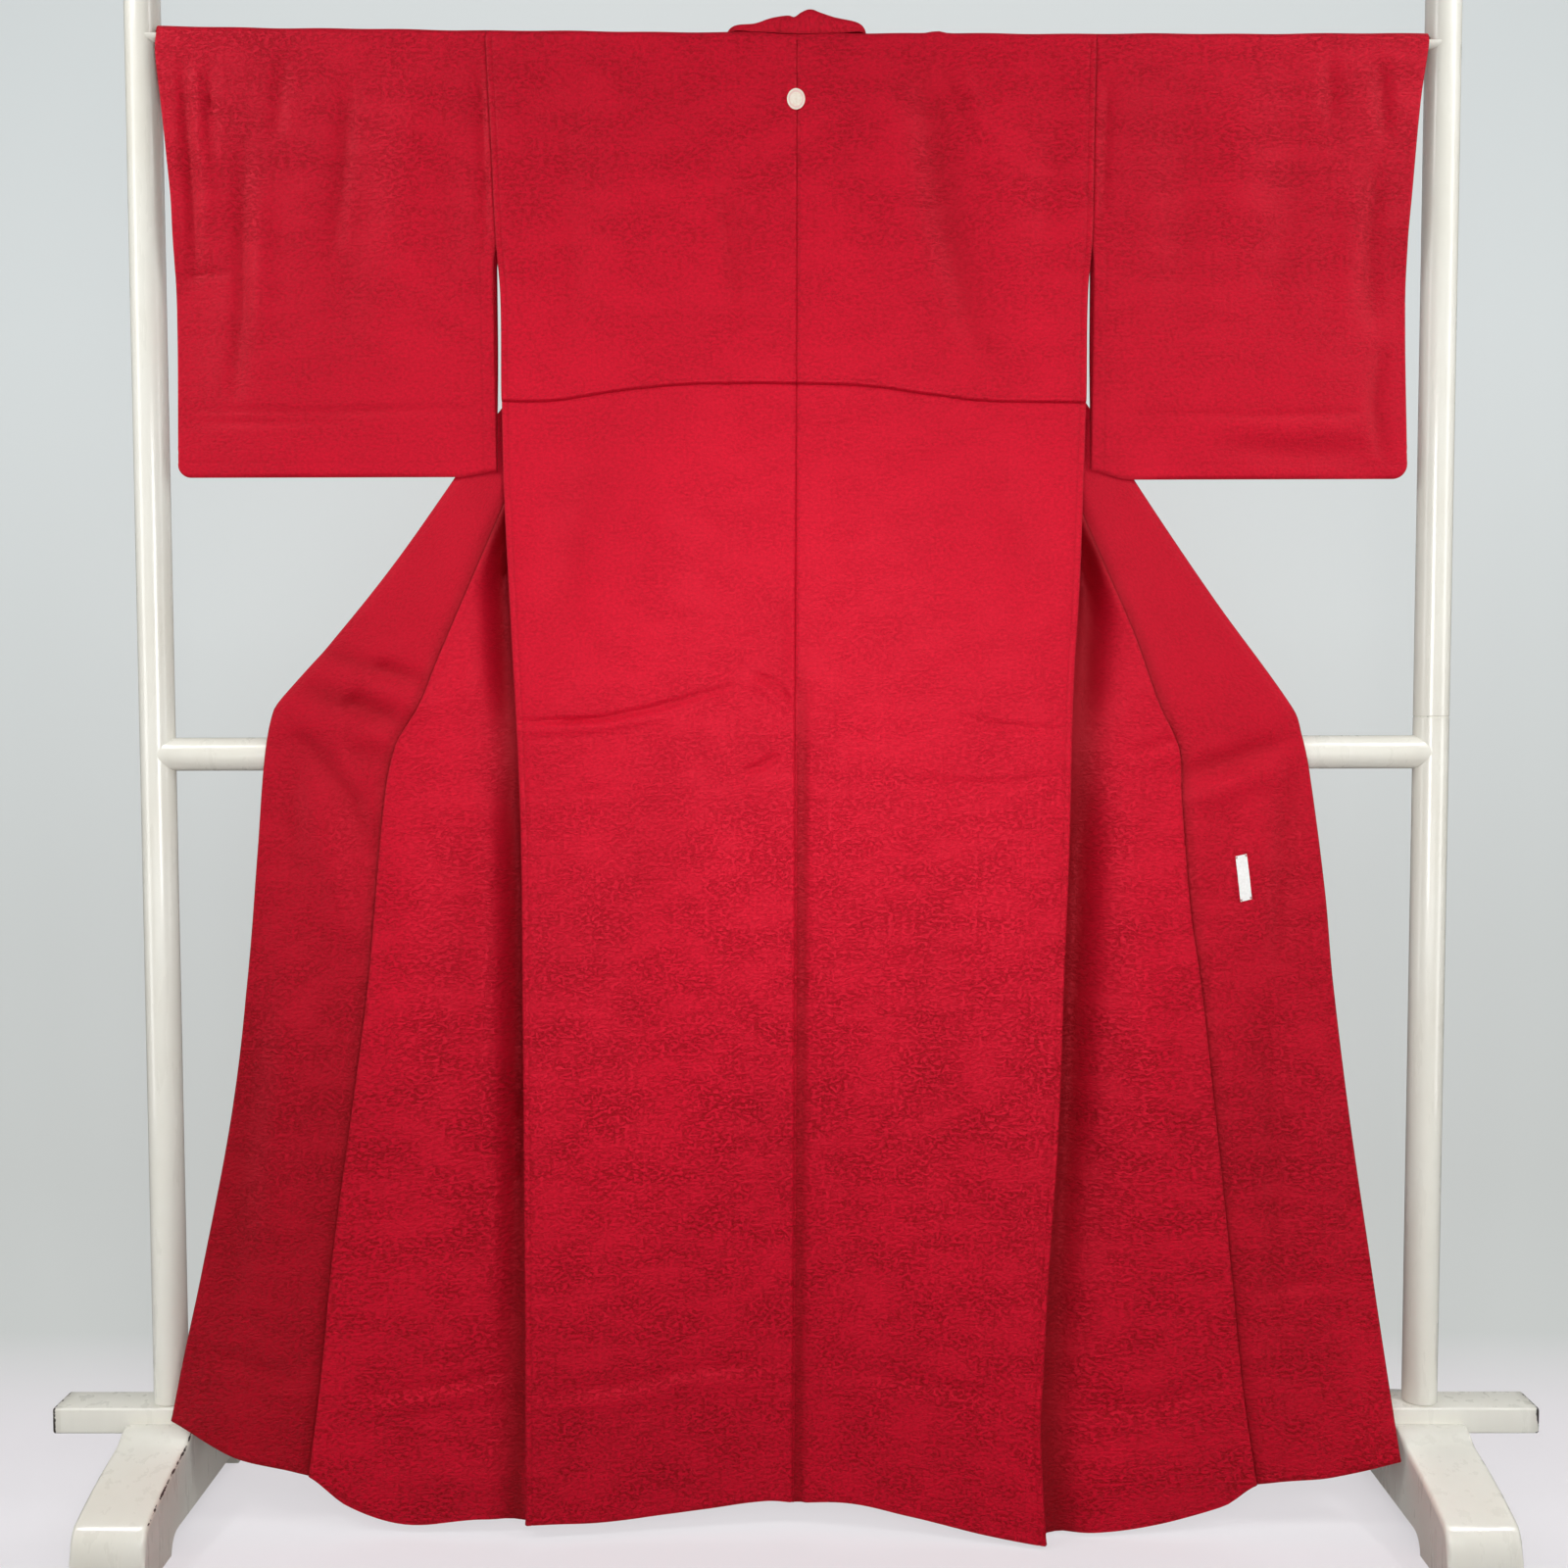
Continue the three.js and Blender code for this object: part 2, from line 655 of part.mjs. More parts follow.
// A sleeve's ring at u, 0 at the body and 1 at the cuff: foot, near layer, turn over the rod, far layer.
function sleeveRing(sleeve, u) {
  const { side, outer, bottom, innerCorner, innerX, corner } = sleeve;
  const nominal = mix(innerX, outer.rows[0][1], u);
  const fromOuter = Math.abs(outer.rows[0][1] - nominal);
  const intoCorner = clamp(1 - fromOuter / corner, 0, 1);
  const round = corner * (1 - Math.sqrt(1 - intoCorner ** 2));
  const foot = mix(innerCorner, bottom, ease(u, 0, 0.12)) + round;
  const besideBody = (z) => read(side.sideSeam, "x", z) + side.s * 1.5 * GAP;
  const innerAt = (z) =>
    mix(innerX, besideBody(z), ease(z, SLEEVE_SEAM_END - 25, SLEEVE_SEAM_END));
  const xAt = (z) => mix(innerAt(z), read(outer, "x", z), u);
  const open = (z) => ease(z, bottom, bottom + LAYERS_MEET);
  const sewn = (z) =>
    ease(u, CUFF_FROM, 1) * ease(z, CUFF_END + CUFF_EASE, CUFF_END - CUFF_EASE);
  const half = (z) => mix(mix(CLOSED_HALF, DRAPE_RADIUS, open(z)), CLOSED_HALF, sewn(z));
  const lean = (z) =>
    (SHOULDER_Y - read(side.sideSeam, "y", z)) *
    ease(u, LEAN_END, 0) *
    ease(z, LEAN_FROM, SLEEVE_SEAM_END);
  const centre = (z) => ROD_Y + FOOT_LEAN * (1 - open(z));
  const near = (z) => new THREE.Vector3(xAt(z), centre(z) - half(z) - lean(z), z);
  const far = (z) => new THREE.Vector3(xAt(z), centre(z) + half(z), z);
  const top = drapeCentreZ(nominal);
  const heights = SLEEVE_SHARES.map((share) => mix(foot, top, share) + 1);
  const apex = new THREE.Vector3(xAt(foot), centre(foot), foot);
  const turn = [0, 25, 55, 90, 125, 155, 180].map((degrees) => overRod(xAt(top), degrees));
  return [apex, ...heights.map(near), ...turn, ...heights.map(far).reverse()];
}

const sleeveGrid = (sleeve) => SLEEVE_COLUMNS.map((u) => sleeveRing(sleeve, u));

// ---------------------------------------------------------------- collar, crest and label

// The collar's middle surface: an arch between its two edges, flat where the arch is 0.
function collarGrid() {
  const stations = COLLAR.rows.flatMap((row, i) =>
    i < COLLAR.rows.length - 1 ? [row[0], row[0] + 0.5] : [row[0]],
  );
  return gridOf(stations, [0, 0.25, 0.5, 0.75, 1], (along, across) => {
    const edge = (name) =>
      new THREE.Vector3(...["X", "Y", "Z"].map((axis) => read(COLLAR, name + axis, along)));
    const angle = Math.PI * across;
    const p = edge("seam").lerp(edge("free"), (1 - Math.cos(angle)) / 2);
    p.z += read(COLLAR, "arch", along) * Math.sin(angle);
    return p;
  });
}

// Layers laid on a panel's outer face: its own points, moved towards the viewer.
const laidOn = (grid, wall) => {
  const lift = (distance) =>
    grid.map((row) => row.map((p) => new THREE.Vector3(p.x, p.y - distance, p.z)));
  return closedFaces(lift(WALL / 2 + 2 * GAP + wall), lift(WALL / 2 + 2 * GAP));
};

// The crest lies across the centre seam, on points of both backs.
function crestGrid() {
  const turns = Array.from({ length: 9 }, (_, i) => -80 + 20 * i);
  return turns.map((degrees) => {
    const z = CREST.z + CREST.halfHeight * Math.sin(radians(degrees));
    const half = CREST.halfWidth * Math.cos(radians(degrees));
    return [-1, -0.5, 0, 0.5, 1].map((across) => {
      const x = CREST.x + across * half;
      return new THREE.Vector3(x, read(CENTRE_SEAM, "y", z), z);
    });
  });
}

function labelGrid() {
  return gridOf([0, 0.5, 1], [0, 0.5, 1], (end, across) => {
    const x = mix(read(LABEL, "innerX", end), read(LABEL, "outerX", end), across);
    const z = mix(read(LABEL, "innerZ", end), read(LABEL, "outerZ", end), across);
    const seam = okumiPoint(RIGHT, 0, z).x;
    const u = (x - seam) / (okumiPoint(RIGHT, 1, z).x - seam);
    return okumiPoint(RIGHT, u, z);
  });
}

for (const side of [LEFT, RIGHT]) {
  add(kimono, "back_" + side.name, clothWall(backGrid(side)), RED_SILK);
  add(kimono, "front_" + side.name, clothWall(frontGrid(side)), RED_SILK);
  add(kimono, "okumi_" + side.name, clothWall(okumiGrid(side)), RED_SILK);
}
for (const sleeve of [LEFT_SLEEVE, RIGHT_SLEEVE])
  add(kimono, "sleeve_" + sleeve.side.name, clothWall(sleeveGrid(sleeve), WALL, true), RED_SILK);
add(kimono, "collar", clothWall(collarGrid(), COLLAR_WALL), RED_SILK);
add(kimono, "crest", laidOn(crestGrid(), CREST.wall), CREST_CREAM);
add(kimono, "label", laidOn(labelGrid(), LABEL_WALL), LABEL_WHITE);

// ---------------------------------------------------------------- stand

// A post: turned, with a domed top; the right one has a joint line at its middle.
function postGeometry(jointZ) {
  const foot = BEAM.top + GAP;
  const dome = Array.from({ length: 6 }, (_, i) => radians(90 - 15 * (6 - i))).map(
    (a) => [POST_RADIUS * Math.cos(a), POST_TOP - POST_RADIUS * 0.6 * (1 - Math.sin(a))],
  );
  const groove = [
    [POST_RADIUS, -1.5],
    [POST_RADIUS - 0.6, -0.5],
    [POST_RADIUS - 0.6, 0.5],
    [POST_RADIUS, 1.5],
  ];
  const joint = jointZ ? groove.map(([r, dz]) => [r, jointZ + dz]) : [];
  const profile = [[0, foot], [POST_RADIUS, foot], ...joint, ...dome, [0, POST_TOP]];
  const lathe = new THREE.LatheGeometry(profile.map(([r, z]) => new THREE.Vector2(r, z)), 32);
  return lathe.rotateX(Math.PI / 2);
}

// The rod: rings along X that follow its sag.
function rodGeometry() {
  const rod = new THREE.CylinderGeometry(ROD_RADIUS, ROD_RADIUS, 2 * ROD_HALF, 20, 24);
  rod.rotateZ(Math.PI / 2).rotateX(Math.PI / 2);
  const p = rod.attributes.position;
  for (let i = 0; i < p.count; i++)
    p.setXYZ(i, p.getX(i), p.getY(i) + ROD_Y, p.getZ(i) + rodZ(p.getX(i)));
  return positionsOnly(rod);
}

const alongX = (radius, length, sides = 32) =>
  new THREE.CylinderGeometry(radius, radius, length, sides).rotateZ(Math.PI / 2);
const postCut = (x) => {
  const cut = new THREE.CylinderGeometry(POST_RADIUS + GAP, POST_RADIUS + GAP, 2 * POST_TOP, 64);
  return manifoldOf(cut.rotateX(Math.PI / 2).translate(x, 0, POST_TOP));
};

// The middle rail, coped to both posts.
function railGeometry() {
  const rail = manifoldOf(alongX(RAIL_RADIUS, 2 * POST_X - 20, 40).translate(0, 0, RAIL_Z));
  return geometryOf(rail.subtract(postCut(-POST_X)).subtract(postCut(POST_X)));
}

// A cradle: the lower half of a short sleeve under the rod's end, coped to its post.
function cradleGeometry(s) {
  const length = CRADLE.to - CRADLE.from;
  const x = (s * (CRADLE.to + CRADLE.from)) / 2;
  const z = rodZ(x);
  const lid = new THREE.BoxGeometry(2 * length, 40, 20).translate(x, ROD_Y, z + CRADLE.lip + 10);
  return geometryOf(
    manifoldOf(alongX(CRADLE.outer, length).translate(x, ROD_Y, z))
      .subtract(manifoldOf(alongX(CRADLE.bore, 2 * length).translate(x, ROD_Y, z)))
      .subtract(manifoldOf(lid))
      .subtract(postCut(s * POST_X)),
  );
}

// A foot: its side outline, symmetric front and back, extruded along X with rounded edges, and
// notched for the beam. It stands on two pads, with a low arch between them.
function footGeometry(x) {
  const half = (outline, s) => {
    const p = (y, z) => [s * y, z];
    outline.lineTo(...p(45, 102));
    outline.quadraticCurveTo(...p(49, 97), ...p(52, 93));
    outline.bezierCurveTo(...p(75, 88), ...p(117, 80), ...p(160, 62));
    outline.bezierCurveTo(...p(171, 55), ...p(174, 40), ...p(173.5, 25));
    outline.quadraticCurveTo(...p(173.5, 6), ...p(168, 0));
    outline.lineTo(...p(103, 0));
    outline.quadraticCurveTo(...p(100, 19), ...p(84, 19.5));
  };
  const front = new THREE.Shape().moveTo(0, 102);
  half(front, 1);
  const points = front.getPoints(5);
  const mirrored = points.slice(1).map((p) => new THREE.Vector2(-p.x, p.y)).reverse();
  const outline = new THREE.Shape([...points, ...mirrored]);
  const body = new THREE.ExtrudeGeometry(outline, {
    depth: FOOT.width - 2 * FOOT.bevel,
    bevelThickness: FOOT.bevel,
    bevelSize: FOOT.bevel,
    bevelOffset: -FOOT.bevel,
    bevelSegments: 3,
    steps: 1,
  });
  body.translate(0, 0, FOOT.bevel - FOOT.width / 2);
  body.rotateX(Math.PI / 2).rotateZ(Math.PI / 2).translate(x, 0, 0);
  const notch = new THREE.BoxGeometry(2 * FOOT.width, BEAM.depth + 2 * GAP, 60);
  notch.translate(x, 0, BEAM.bottom - GAP + 30);
  return geometryOf(manifoldOf(body).subtract(manifoldOf(notch)));
}

function beamGeometry() {
  const height = BEAM.top - BEAM.bottom;
  const beam = new RoundedBoxGeometry(2 * BEAM.half, BEAM.depth, height, 2, BEAM.edge);
  return positionsOnly(beam.translate(0, 0, BEAM.bottom + height / 2));
}

for (const { name, s } of [LEFT, RIGHT]) {
  const post = add(stand, "post_" + name, postGeometry(s > 0 ? POST_JOINT : 0), CREAM_PAINT);
  post.position.x = s * POST_X;
  add(stand, "foot_" + name, footGeometry(s * FOOT.x), CREAM_PAINT);
  add(stand, "rod_cradle_" + name, cradleGeometry(s), CREAM_PAINT);
}
add(stand, "mid_rail", railGeometry(), CREAM_PAINT);
add(stand, "bottom_beam", beamGeometry(), CREAM_PAINT);
add(stand, "rod", rodGeometry(), DARK_ROD);

export default kimonoOnStand;
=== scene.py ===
"""An iromuji kimono, plain red silk, spread over the rod of a cream garment stand, back to the viewer.

Tables and formulas are in millimetres and the meshes in metres. +Z is up, X runs along the rod and Y
away from the viewer. Left and right are the viewer's, and the wearer's too.
"""
from math import radians

import bpy
import numpy as np
from mathutils import Matrix, Vector


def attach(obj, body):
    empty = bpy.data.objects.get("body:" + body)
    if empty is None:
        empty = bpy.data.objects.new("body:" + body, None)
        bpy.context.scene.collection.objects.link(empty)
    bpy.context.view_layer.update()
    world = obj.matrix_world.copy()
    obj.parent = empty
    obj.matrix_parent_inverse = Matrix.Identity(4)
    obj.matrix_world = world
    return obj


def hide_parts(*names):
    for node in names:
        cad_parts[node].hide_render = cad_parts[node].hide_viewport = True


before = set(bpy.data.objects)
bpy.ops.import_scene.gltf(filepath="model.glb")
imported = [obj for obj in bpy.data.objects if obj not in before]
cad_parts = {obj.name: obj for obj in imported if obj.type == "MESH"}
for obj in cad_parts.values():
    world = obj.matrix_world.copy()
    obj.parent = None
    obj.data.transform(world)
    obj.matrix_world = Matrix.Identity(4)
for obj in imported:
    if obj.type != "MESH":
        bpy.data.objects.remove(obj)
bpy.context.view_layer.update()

MM = 0.001

# ------------------------------------------------------------------ dimensions

# Cloth: the gap at a seam, the thickness of a panel and how much thicker it is at the turned hem.
GAP = 0.3
WALL = 1.5
HEM_SWELL = 0.5
SEAM_STEP = WALL + GAP
# The centre seam's x at the shoulder.
CENTRE_X = 5
# Widths of a front, of an overlap panel (okumi), of the strip of it that is tucked in under the front,
# and of the folded collar, with the collar's thickness.
FRONT_WIDTH = 240
OKUMI_WIDTH = 150
OKUMI_LAP = 5
COLLAR_WIDTH = 55
COLLAR_WALL = 3
# Heights: the lower ends of the sleeve's seam and of the cuff, the side seam's upper end, the point
# where an okumi ends at the collar (kensaki), the start of the turn over the rod, and the height from
# which the back's folds fade towards it.
SLEEVE_SEAM_END = 1341
CUFF_END = 1320
SIDE_SEAM_TOP = 1284
KENSAKI = 1332
SHOULDER = 1541
DRAPED_FROM = 1490
# The rod, and the cloth's half circle over it.
ROD_Y = -10
ROD_RADIUS = 5.5
ROD_HALF = 651.8
ROD_Z = {"left": 1551.6, "middle": 1542.6, "right": 1539.6}
ROD_END_CUT = 0.8
DRAPE_RADIUS = 9.5
ROD_CLEARANCE = 0.8
SHOULDER_Y = ROD_Y - DRAPE_RADIUS
# The rest of the stand.
POST_X = 670
POST_RADIUS = 18
POST_TOP = 1650
POST_JOINT = 850
RAIL_Z = 813
RAIL_RADIUS = 17.5
BEAM = {"half": 789.4, "depth": 45, "bottom": 90.4, "top": 118, "edge": 2.5}
FOOT = {"x": 671.5, "width": 74.3, "bevel": 5}
CRADLE = {"outer": 7.4, "bore": 5.8, "from": 644, "middle": 652, "to": 662}
# How many sides each round bar has.
SIDES = {"post": 56, "rod": 32, "rail": 48}
# How worn the edges of each foot's inner and outer face are.
FOOT_WEAR = {"left": (1.15, 0.62), "right": (0.7, 0.74)}
# The crest place and the label, and how far the middle of each lies over the cloth.
CREST = {"x": 4, "z": 1481, "half_width": 9.2, "half_height": 10.7}
CREST_LIFT = 0.55
LABEL_SIZE = (11.6, 47)
LABEL_LIFT = 0.45
# Where each kind of piece begins across the cloth's own coordinates, so that no two kinds show the
# same flecks.
CLOTH_FROM = {"okumi": 400, "sleeve": 700, "collar": 1200}
# Places along a stitch, in shares of its length from its middle, and its thickness there.
BEAD = ((-0.5, 0.35), (-0.25, 1.0), (0.25, 1.0), (0.5, 0.35))


# ------------------------------------------------------------------ numbers and curves


def table(columns, *rows):
    """The rows' numbers as one array for each of the named columns."""
    return dict(zip(columns.split(), np.array(rows, float).T))


def mix(a, b, share):
    """Straight from a, at share 0, to b, at share 1."""
    return a + (b - a) * share


def ease(value, start, end):
    """0 before start and 1 past end, with a smooth cubic step between them."""
    t = np.clip((value - start) / (end - start), 0, 1)
    return t * t * (3 - 2 * t)


def bell(distance, width):
    """1 at distance 0 and a Gaussian fall on both sides."""
    return np.exp(-((distance / width) ** 2))


def bezier(t, *points):
    """The curve of the control points at t: neighbours are mixed until one point is left."""
    while len(points) > 1:
        points = [mix(a, b, t) for a, b in zip(points, points[1:])]
    return points[0]


def read(lines, column, at):
    """A column at places along the table's first one: cubic Hermite curves through the rows, each
    row's slope taken across its neighbours, and level beyond the ends."""
    knots = next(iter(lines.values()))
    values = lines[column]
    last = len(knots) - 1
    rows = np.arange(last + 1)
    before = np.maximum(rows - 1, 0)
    after = np.minimum(rows + 1, last)
    slope = (values[after] - values[before]) / (knots[after] - knots[before])
    i = np.clip(np.searchsorted(knots, at, side="right") - 1, 0, last - 1)
    span = knots[i + 1] - knots[i]
    t = np.clip((at - knots[i]) / span, 0, 1)
    bend = span * t * (1 - t) * ((1 - t) * slope[i] - t * slope[i + 1])
    return mix(values[i], values[i + 1], ease(t, 0, 1)) + bend


def read_xy(lines, z):
    """A line's x and y at heights z."""
    return read(lines, "x", z), read(lines, "y", z)


def joined(*parts):
    """The parts broadcast to one shape and put together as a new last axis, such as x, y and z."""
    return np.stack(np.broadcast_arrays(*parts), -1)


def length_to(points):
    """The length along a line of points up to each of them."""
    steps = np.linalg.norm(np.diff(points, axis=-2), axis=-1)
    return np.insert(np.cumsum(steps, -1), 0, 0, -1)


def unit(vectors):
    """The vectors at length 1."""
    return vectors / np.maximum(np.linalg.norm(vectors, axis=-1, keepdims=True), 1e-9)


# ------------------------------------------------------------------ tables of the garment's lines

# A line is given by a few of its points, and read() joins them with a curve. The side seam, the
# okumi's seam and the front edge run up from the hem. The hem's z is that of the whole lower edge.
LEFT = {
    "name": "left",
    "s": -1,
    "side_seam": table(
        "z x y",
        [0, -278, -74], [272, -278, -65], [582, -279, -53], [726, -280, -48], [839, -284, -44],
        [916, -288, -41], [1084, -296, -35], [1181, -298, -31], [SIDE_SEAM_TOP, -299, -26.5],
        [SLEEVE_SEAM_END, -303.8, -22.5], [1450, -308.4, -20.5], [SHOULDER, -312.6, SHOULDER_Y],
    ),
    "okumi_seam": table(
        "z x y",
        [60, -508, -54], [160, -495, -50], [286, -482, -46], [423, -463, -42], [579, -442, -37],
        [750, -426, -32], [820, -413, -30], [865, -386.5, -28.5], [905, -370.5, -26], [991, -334, -21],
        [1066, -302, -14], [1160, -259.5, -3], [1240, -224, 3], [KENSAKI, -182, 6], [1442, -125, 6],
        [1505, -92, 3], [SHOULDER, -76, -0.5], [1551, -71, -0.5],
    ),
    "front_edge": table(
        "z x y",
        [117, -652, -50], [188, -638.5, -44], [263, -623, -38], [431, -590, -33], [578, -570, -30],
        [714, -558, -26], [808, -550, -24], [858, -540, -24], [876, -527, -24], [927, -481, -21.5],
        [1005, -418, -17], [1088, -359, -11.5], [1163, -310, -3], [1246, -245, 4], [KENSAKI, -184, 6],
    ),
    "hem": table(
        "x z",
        [-652, 117], [-588, 79], [-508, 59], [-457, 29], [-378, 10], [-278, 16], [-203, 15], [-99, 22],
        [-31, 28], [-1, 25],
    ),
}
RIGHT = {
    "name": "right",
    "s": 1,
    "side_seam": table(
        "z x y",
        [0, 257, -92], [123, 251, -86], [174, 254, -83], [276, 260, -77], [429, 271, -68], [582, 277, -59],
        [725, 283, -50], [879, 287, -43], [981, 293, -39], [1083, 297, -35], [1172, 300, -31],
        [SIDE_SEAM_TOP, 302, -26.5], [SLEEVE_SEAM_END, 307, -22.5], [1450, 308.4, -20.5],
        [SHOULDER, 310.4, SHOULDER_Y],
    ),
    "okumi_seam": table(
        "z x y",
        [50, 482, -54], [145, 468, -50], [265, 456, -46], [447, 437, -41], [578, 422, -37],
        [645, 412, -35], [765, 402, -31], [817, 399, -30], [863, 378, -28.5], [935, 352.5, -24],
        [1007, 322, -19.5], [1060, 300, -14], [1160, 263.7, -3], [1240, 234.7, 3], [KENSAKI + 9, 198, 6],
        [1442, 142, 6], [1505, 106, 3], [1538, 88, -0.5], [1550, 83, -0.5],
    ),
    "front_edge": table(
        "z x y",
        [78, 629, -60], [178, 615, -50], [282, 601, -40], [430, 580, -32], [576, 561, -29],
        [670, 552, -27], [795, 535, -24], [831, 527, -24], [858, 518, -24], [972, 436, -19],
        [1086, 360, -11.5], [1167, 311, -3], [1250, 256, 4], [KENSAKI + 9, 200, 6],
    ),
    "hem": table(
        "x z",
        [-1, 25], [57, 29], [120, 20], [195, 9], [257, 4.5], [340, 9], [440, 28], [482, 50], [560, 60],
        [629, 78],
    ),
}
# The depths of the two layers of a front behind the side seam.
FOLD_LAYERS = table(
    "z near far",
    [60, -67, -60], [160, -60, -47], [286, -54, -40], [423, -48, -33], [579, -41, -27], [750, -36, -23.5],
    [813, -34, -22], [876, -33, -22], [940, -31, -21], [1000, -28, -18], [1066, -23, -14], [1160, -16, -3],
    [1240, -10, 3], [1332, -6, 6], [1450, -1.5, 6], [SHOULDER, -0.5, -0.5],
)
CENTRE_SEAM = table(
    "z x y",
    [0, -3, -40], [580, 1, -44], [883, 2, -42], [1192, 4, -31], [1483, 5, -20.5],
    [SHOULDER, 5, SHOULDER_Y],
)
TUCK_LINE = table(
    "x z",
    [-298, 1176], [-249, 1176], [-171, 1187], [-95, 1193], [67, 1191], [144, 1181], [196, 1175],
    [298, 1173],
)
NECKLINE = {"middle": 6, "half": 77, "lowest": 38, "highest": 90}
LEFT_SLEEVE = {
    "side": LEFT,
    "bottom": 1101,
    "inner_corner": 1106,
    "inner_x": -306.4,
    "corner": 13,
    "outer": table(
        "z x",
        [1101, -637], [1367, -637], [1438, -642], [1493, -647], [1536, -650.5], [1560, -647],
    ),
}
RIGHT_SLEEVE = {
    "side": RIGHT,
    "bottom": 1096.5,
    "inner_corner": 1106,
    "inner_x": 308.4,
    "corner": 15,
    "outer": table(
        "z x",
        [1096, 635], [1338, 631], [1388, 634], [1478, 641], [1533, 648], [1548, 648],
    ),
}
# The collar's sewn and free edge, from the left front edge round the neck to the right one, and how
# far it arches up between them. COLLAR_TOP is its upper outline over the nape.
COLLAR = table(
    "along seam_x seam_y seam_z free_x free_y free_z arch",
    [0, -533, -21.2, 869, -489, -20.6, 837, 0], [1, -481, -18.9, 927, -437, -17.5, 893, 0],
    [2, -418, -14.3, 1005, -374, -11, 971, 0], [3, -359, -8.3, 1088, -314, -4, 1057, 0],
    [4, -310, -0.3, 1163, -265, 4, 1131, 0], [5, -245, 6.8, 1246, -199, 9.5, 1215, 0],
    [6, -184, 8.8, 1332, -136, 10.5, 1305, 0], [7, -125, 8.8, 1442, -78, 10, 1418, 1],
    [8, -92, 6.2, 1505, -44, 8, 1486, 2], [9, -73, 2.4, 1540, -30, 5, 1520, 5],
    [10, -62, -9.5, 1552.5, -22, 2.5, 1537, 12], [11, -36, -13.5, 1551, -14, 1, 1543, 17],
    [12, 6, -17.7, 1547.4, 6, 0.5, 1545, 22], [13, 47, -13.8, 1549.6, 24, 1, 1542, 20],
    [14, 73, -9.5, 1551, 33, 2.5, 1536, 13], [15, 79, 2.6, 1540, 36, 5, 1521, 5],
    [16, 106, 6.2, 1505, 58, 8, 1484, 2], [17, 142, 8.8, 1442, 95, 10, 1416, 1],
    [18, 200, 8.8, 1341, 153, 10.5, 1312, 0], [19, 256, 6.8, 1250, 210, 9.5, 1220, 0],
    [20, 311, -0.3, 1167, 265, 4, 1137, 0], [21, 360, -8.8, 1086, 314, -4, 1055, 0],
    [22, 436, -16.3, 972, 391, -13.5, 939, 0], [23, 512, -21.2, 866, 468, -20.6, 834, 0],
)
COLLAR_TOP = table(
    "x z",
    [-72, 1557.0], [-33, 1559.7], [-18, 1566.5], [-3, 1568.9], [3, 1567.4], [10, 1572.3], [18, 1575.3],
    [26, 1572.3], [37, 1567.8], [50, 1563.3], [62, 1558.3], [81, 1555.3],
)
LABEL = table(
    "end inner_x inner_z outer_x outer_z",
    [0, 462.8, 659, 474.4, 662], [1, 457.6, 706, 469, 708.8],
)


# ------------------------------------------------------------------ folds and creases

# Each is a height over the cloth, a half width, and the points (x, z) of its line. A minus height is
# a trough. They are given one by one, none twice the same.
BACK_FOLDS = [
    (-2.4, 8, (-72, 1420), (-72, 1397), (-52, 1249)), (1.2, 16, (-100, 1400), (-84, 1260)),
    (-4.2, 18, (130, 1541), (155, 1365), (186, 1248), (215, 1190)),
    (1.8, 26, (95, 1500), (118, 1350), (140, 1230)), (1.6, 24, (190, 1500), (222, 1330), (250, 1215)),
    (-2.2, 6, (148, 1536), (182, 1443)), (1.5, 7, (163, 1530), (196, 1450)),
    (-1.2, 9, (-58, 1440), (-49, 1278)), (-1.4, 14, (-235, 1480), (-225, 1300), (-240, 1200)),
    (1.2, 20, (-185, 1500), (-170, 1290)), (-1.2, 14, (268, 1500), (262, 1330)),
    (-2.4, 24, (-200, 1110), (-226, 1039), (-231, 930)), (1.3, 26, (-120, 1130), (-130, 960)),
    (-2.0, 24, (200, 1120), (238, 1023), (244, 950)), (1.4, 30, (120, 1120), (130, 940)),
    (-0.5, 2.5, (-290, 1126), (-170, 1129), (-135, 1132)), (-0.5, 2.5, (-40, 1130), (3, 1129), (60, 1131)),
    (-0.5, 2.5, (156, 1135), (227, 1126), (290, 1124)),
    (-2.0, 3.2, (-290, 846), (-197, 850), (-148, 860), (-60, 884)),
    (1.3, 6, (-290, 838), (-197, 842), (-120, 856)), (-1.7, 3.4, (-42, 897), (-24, 889), (0, 866)),
    (0.9, 5, (-46, 888), (-26, 879), (-2, 856)), (-2.0, 4.0, (-52, 795), (-34, 801), (-14, 814)),
    (-1.5, 12, (-16, 975), (-12, 880)), (-1.0, 5, (160, 855), (200, 843), (280, 837)),
    (-0.9, 6, (110, 786), (212, 781), (284, 792)), (-0.8, 6, (-190, 778), (-265, 766)),
    (-1.5, 30, (-150, 780), (-170, 560), (-160, 380)), (1.5, 34, (-70, 760), (-85, 500), (-80, 300)),
    (-1.6, 30, (150, 760), (140, 540), (155, 330)), (1.4, 30, (225, 740), (215, 520), (205, 330)),
    (-1.0, 6, (-275, 150), (-174, 158), (-113, 170), (-16, 175)),
    (0.8, 9, (-275, 138), (-174, 145), (-113, 156), (-16, 160)),
    (-1.0, 8, (60, 168), (150, 160), (235, 146)), (-1.0, 20, (60, 420), (66, 240)),
    (-0.9, 18, (-200, 400), (-214, 230)),
]
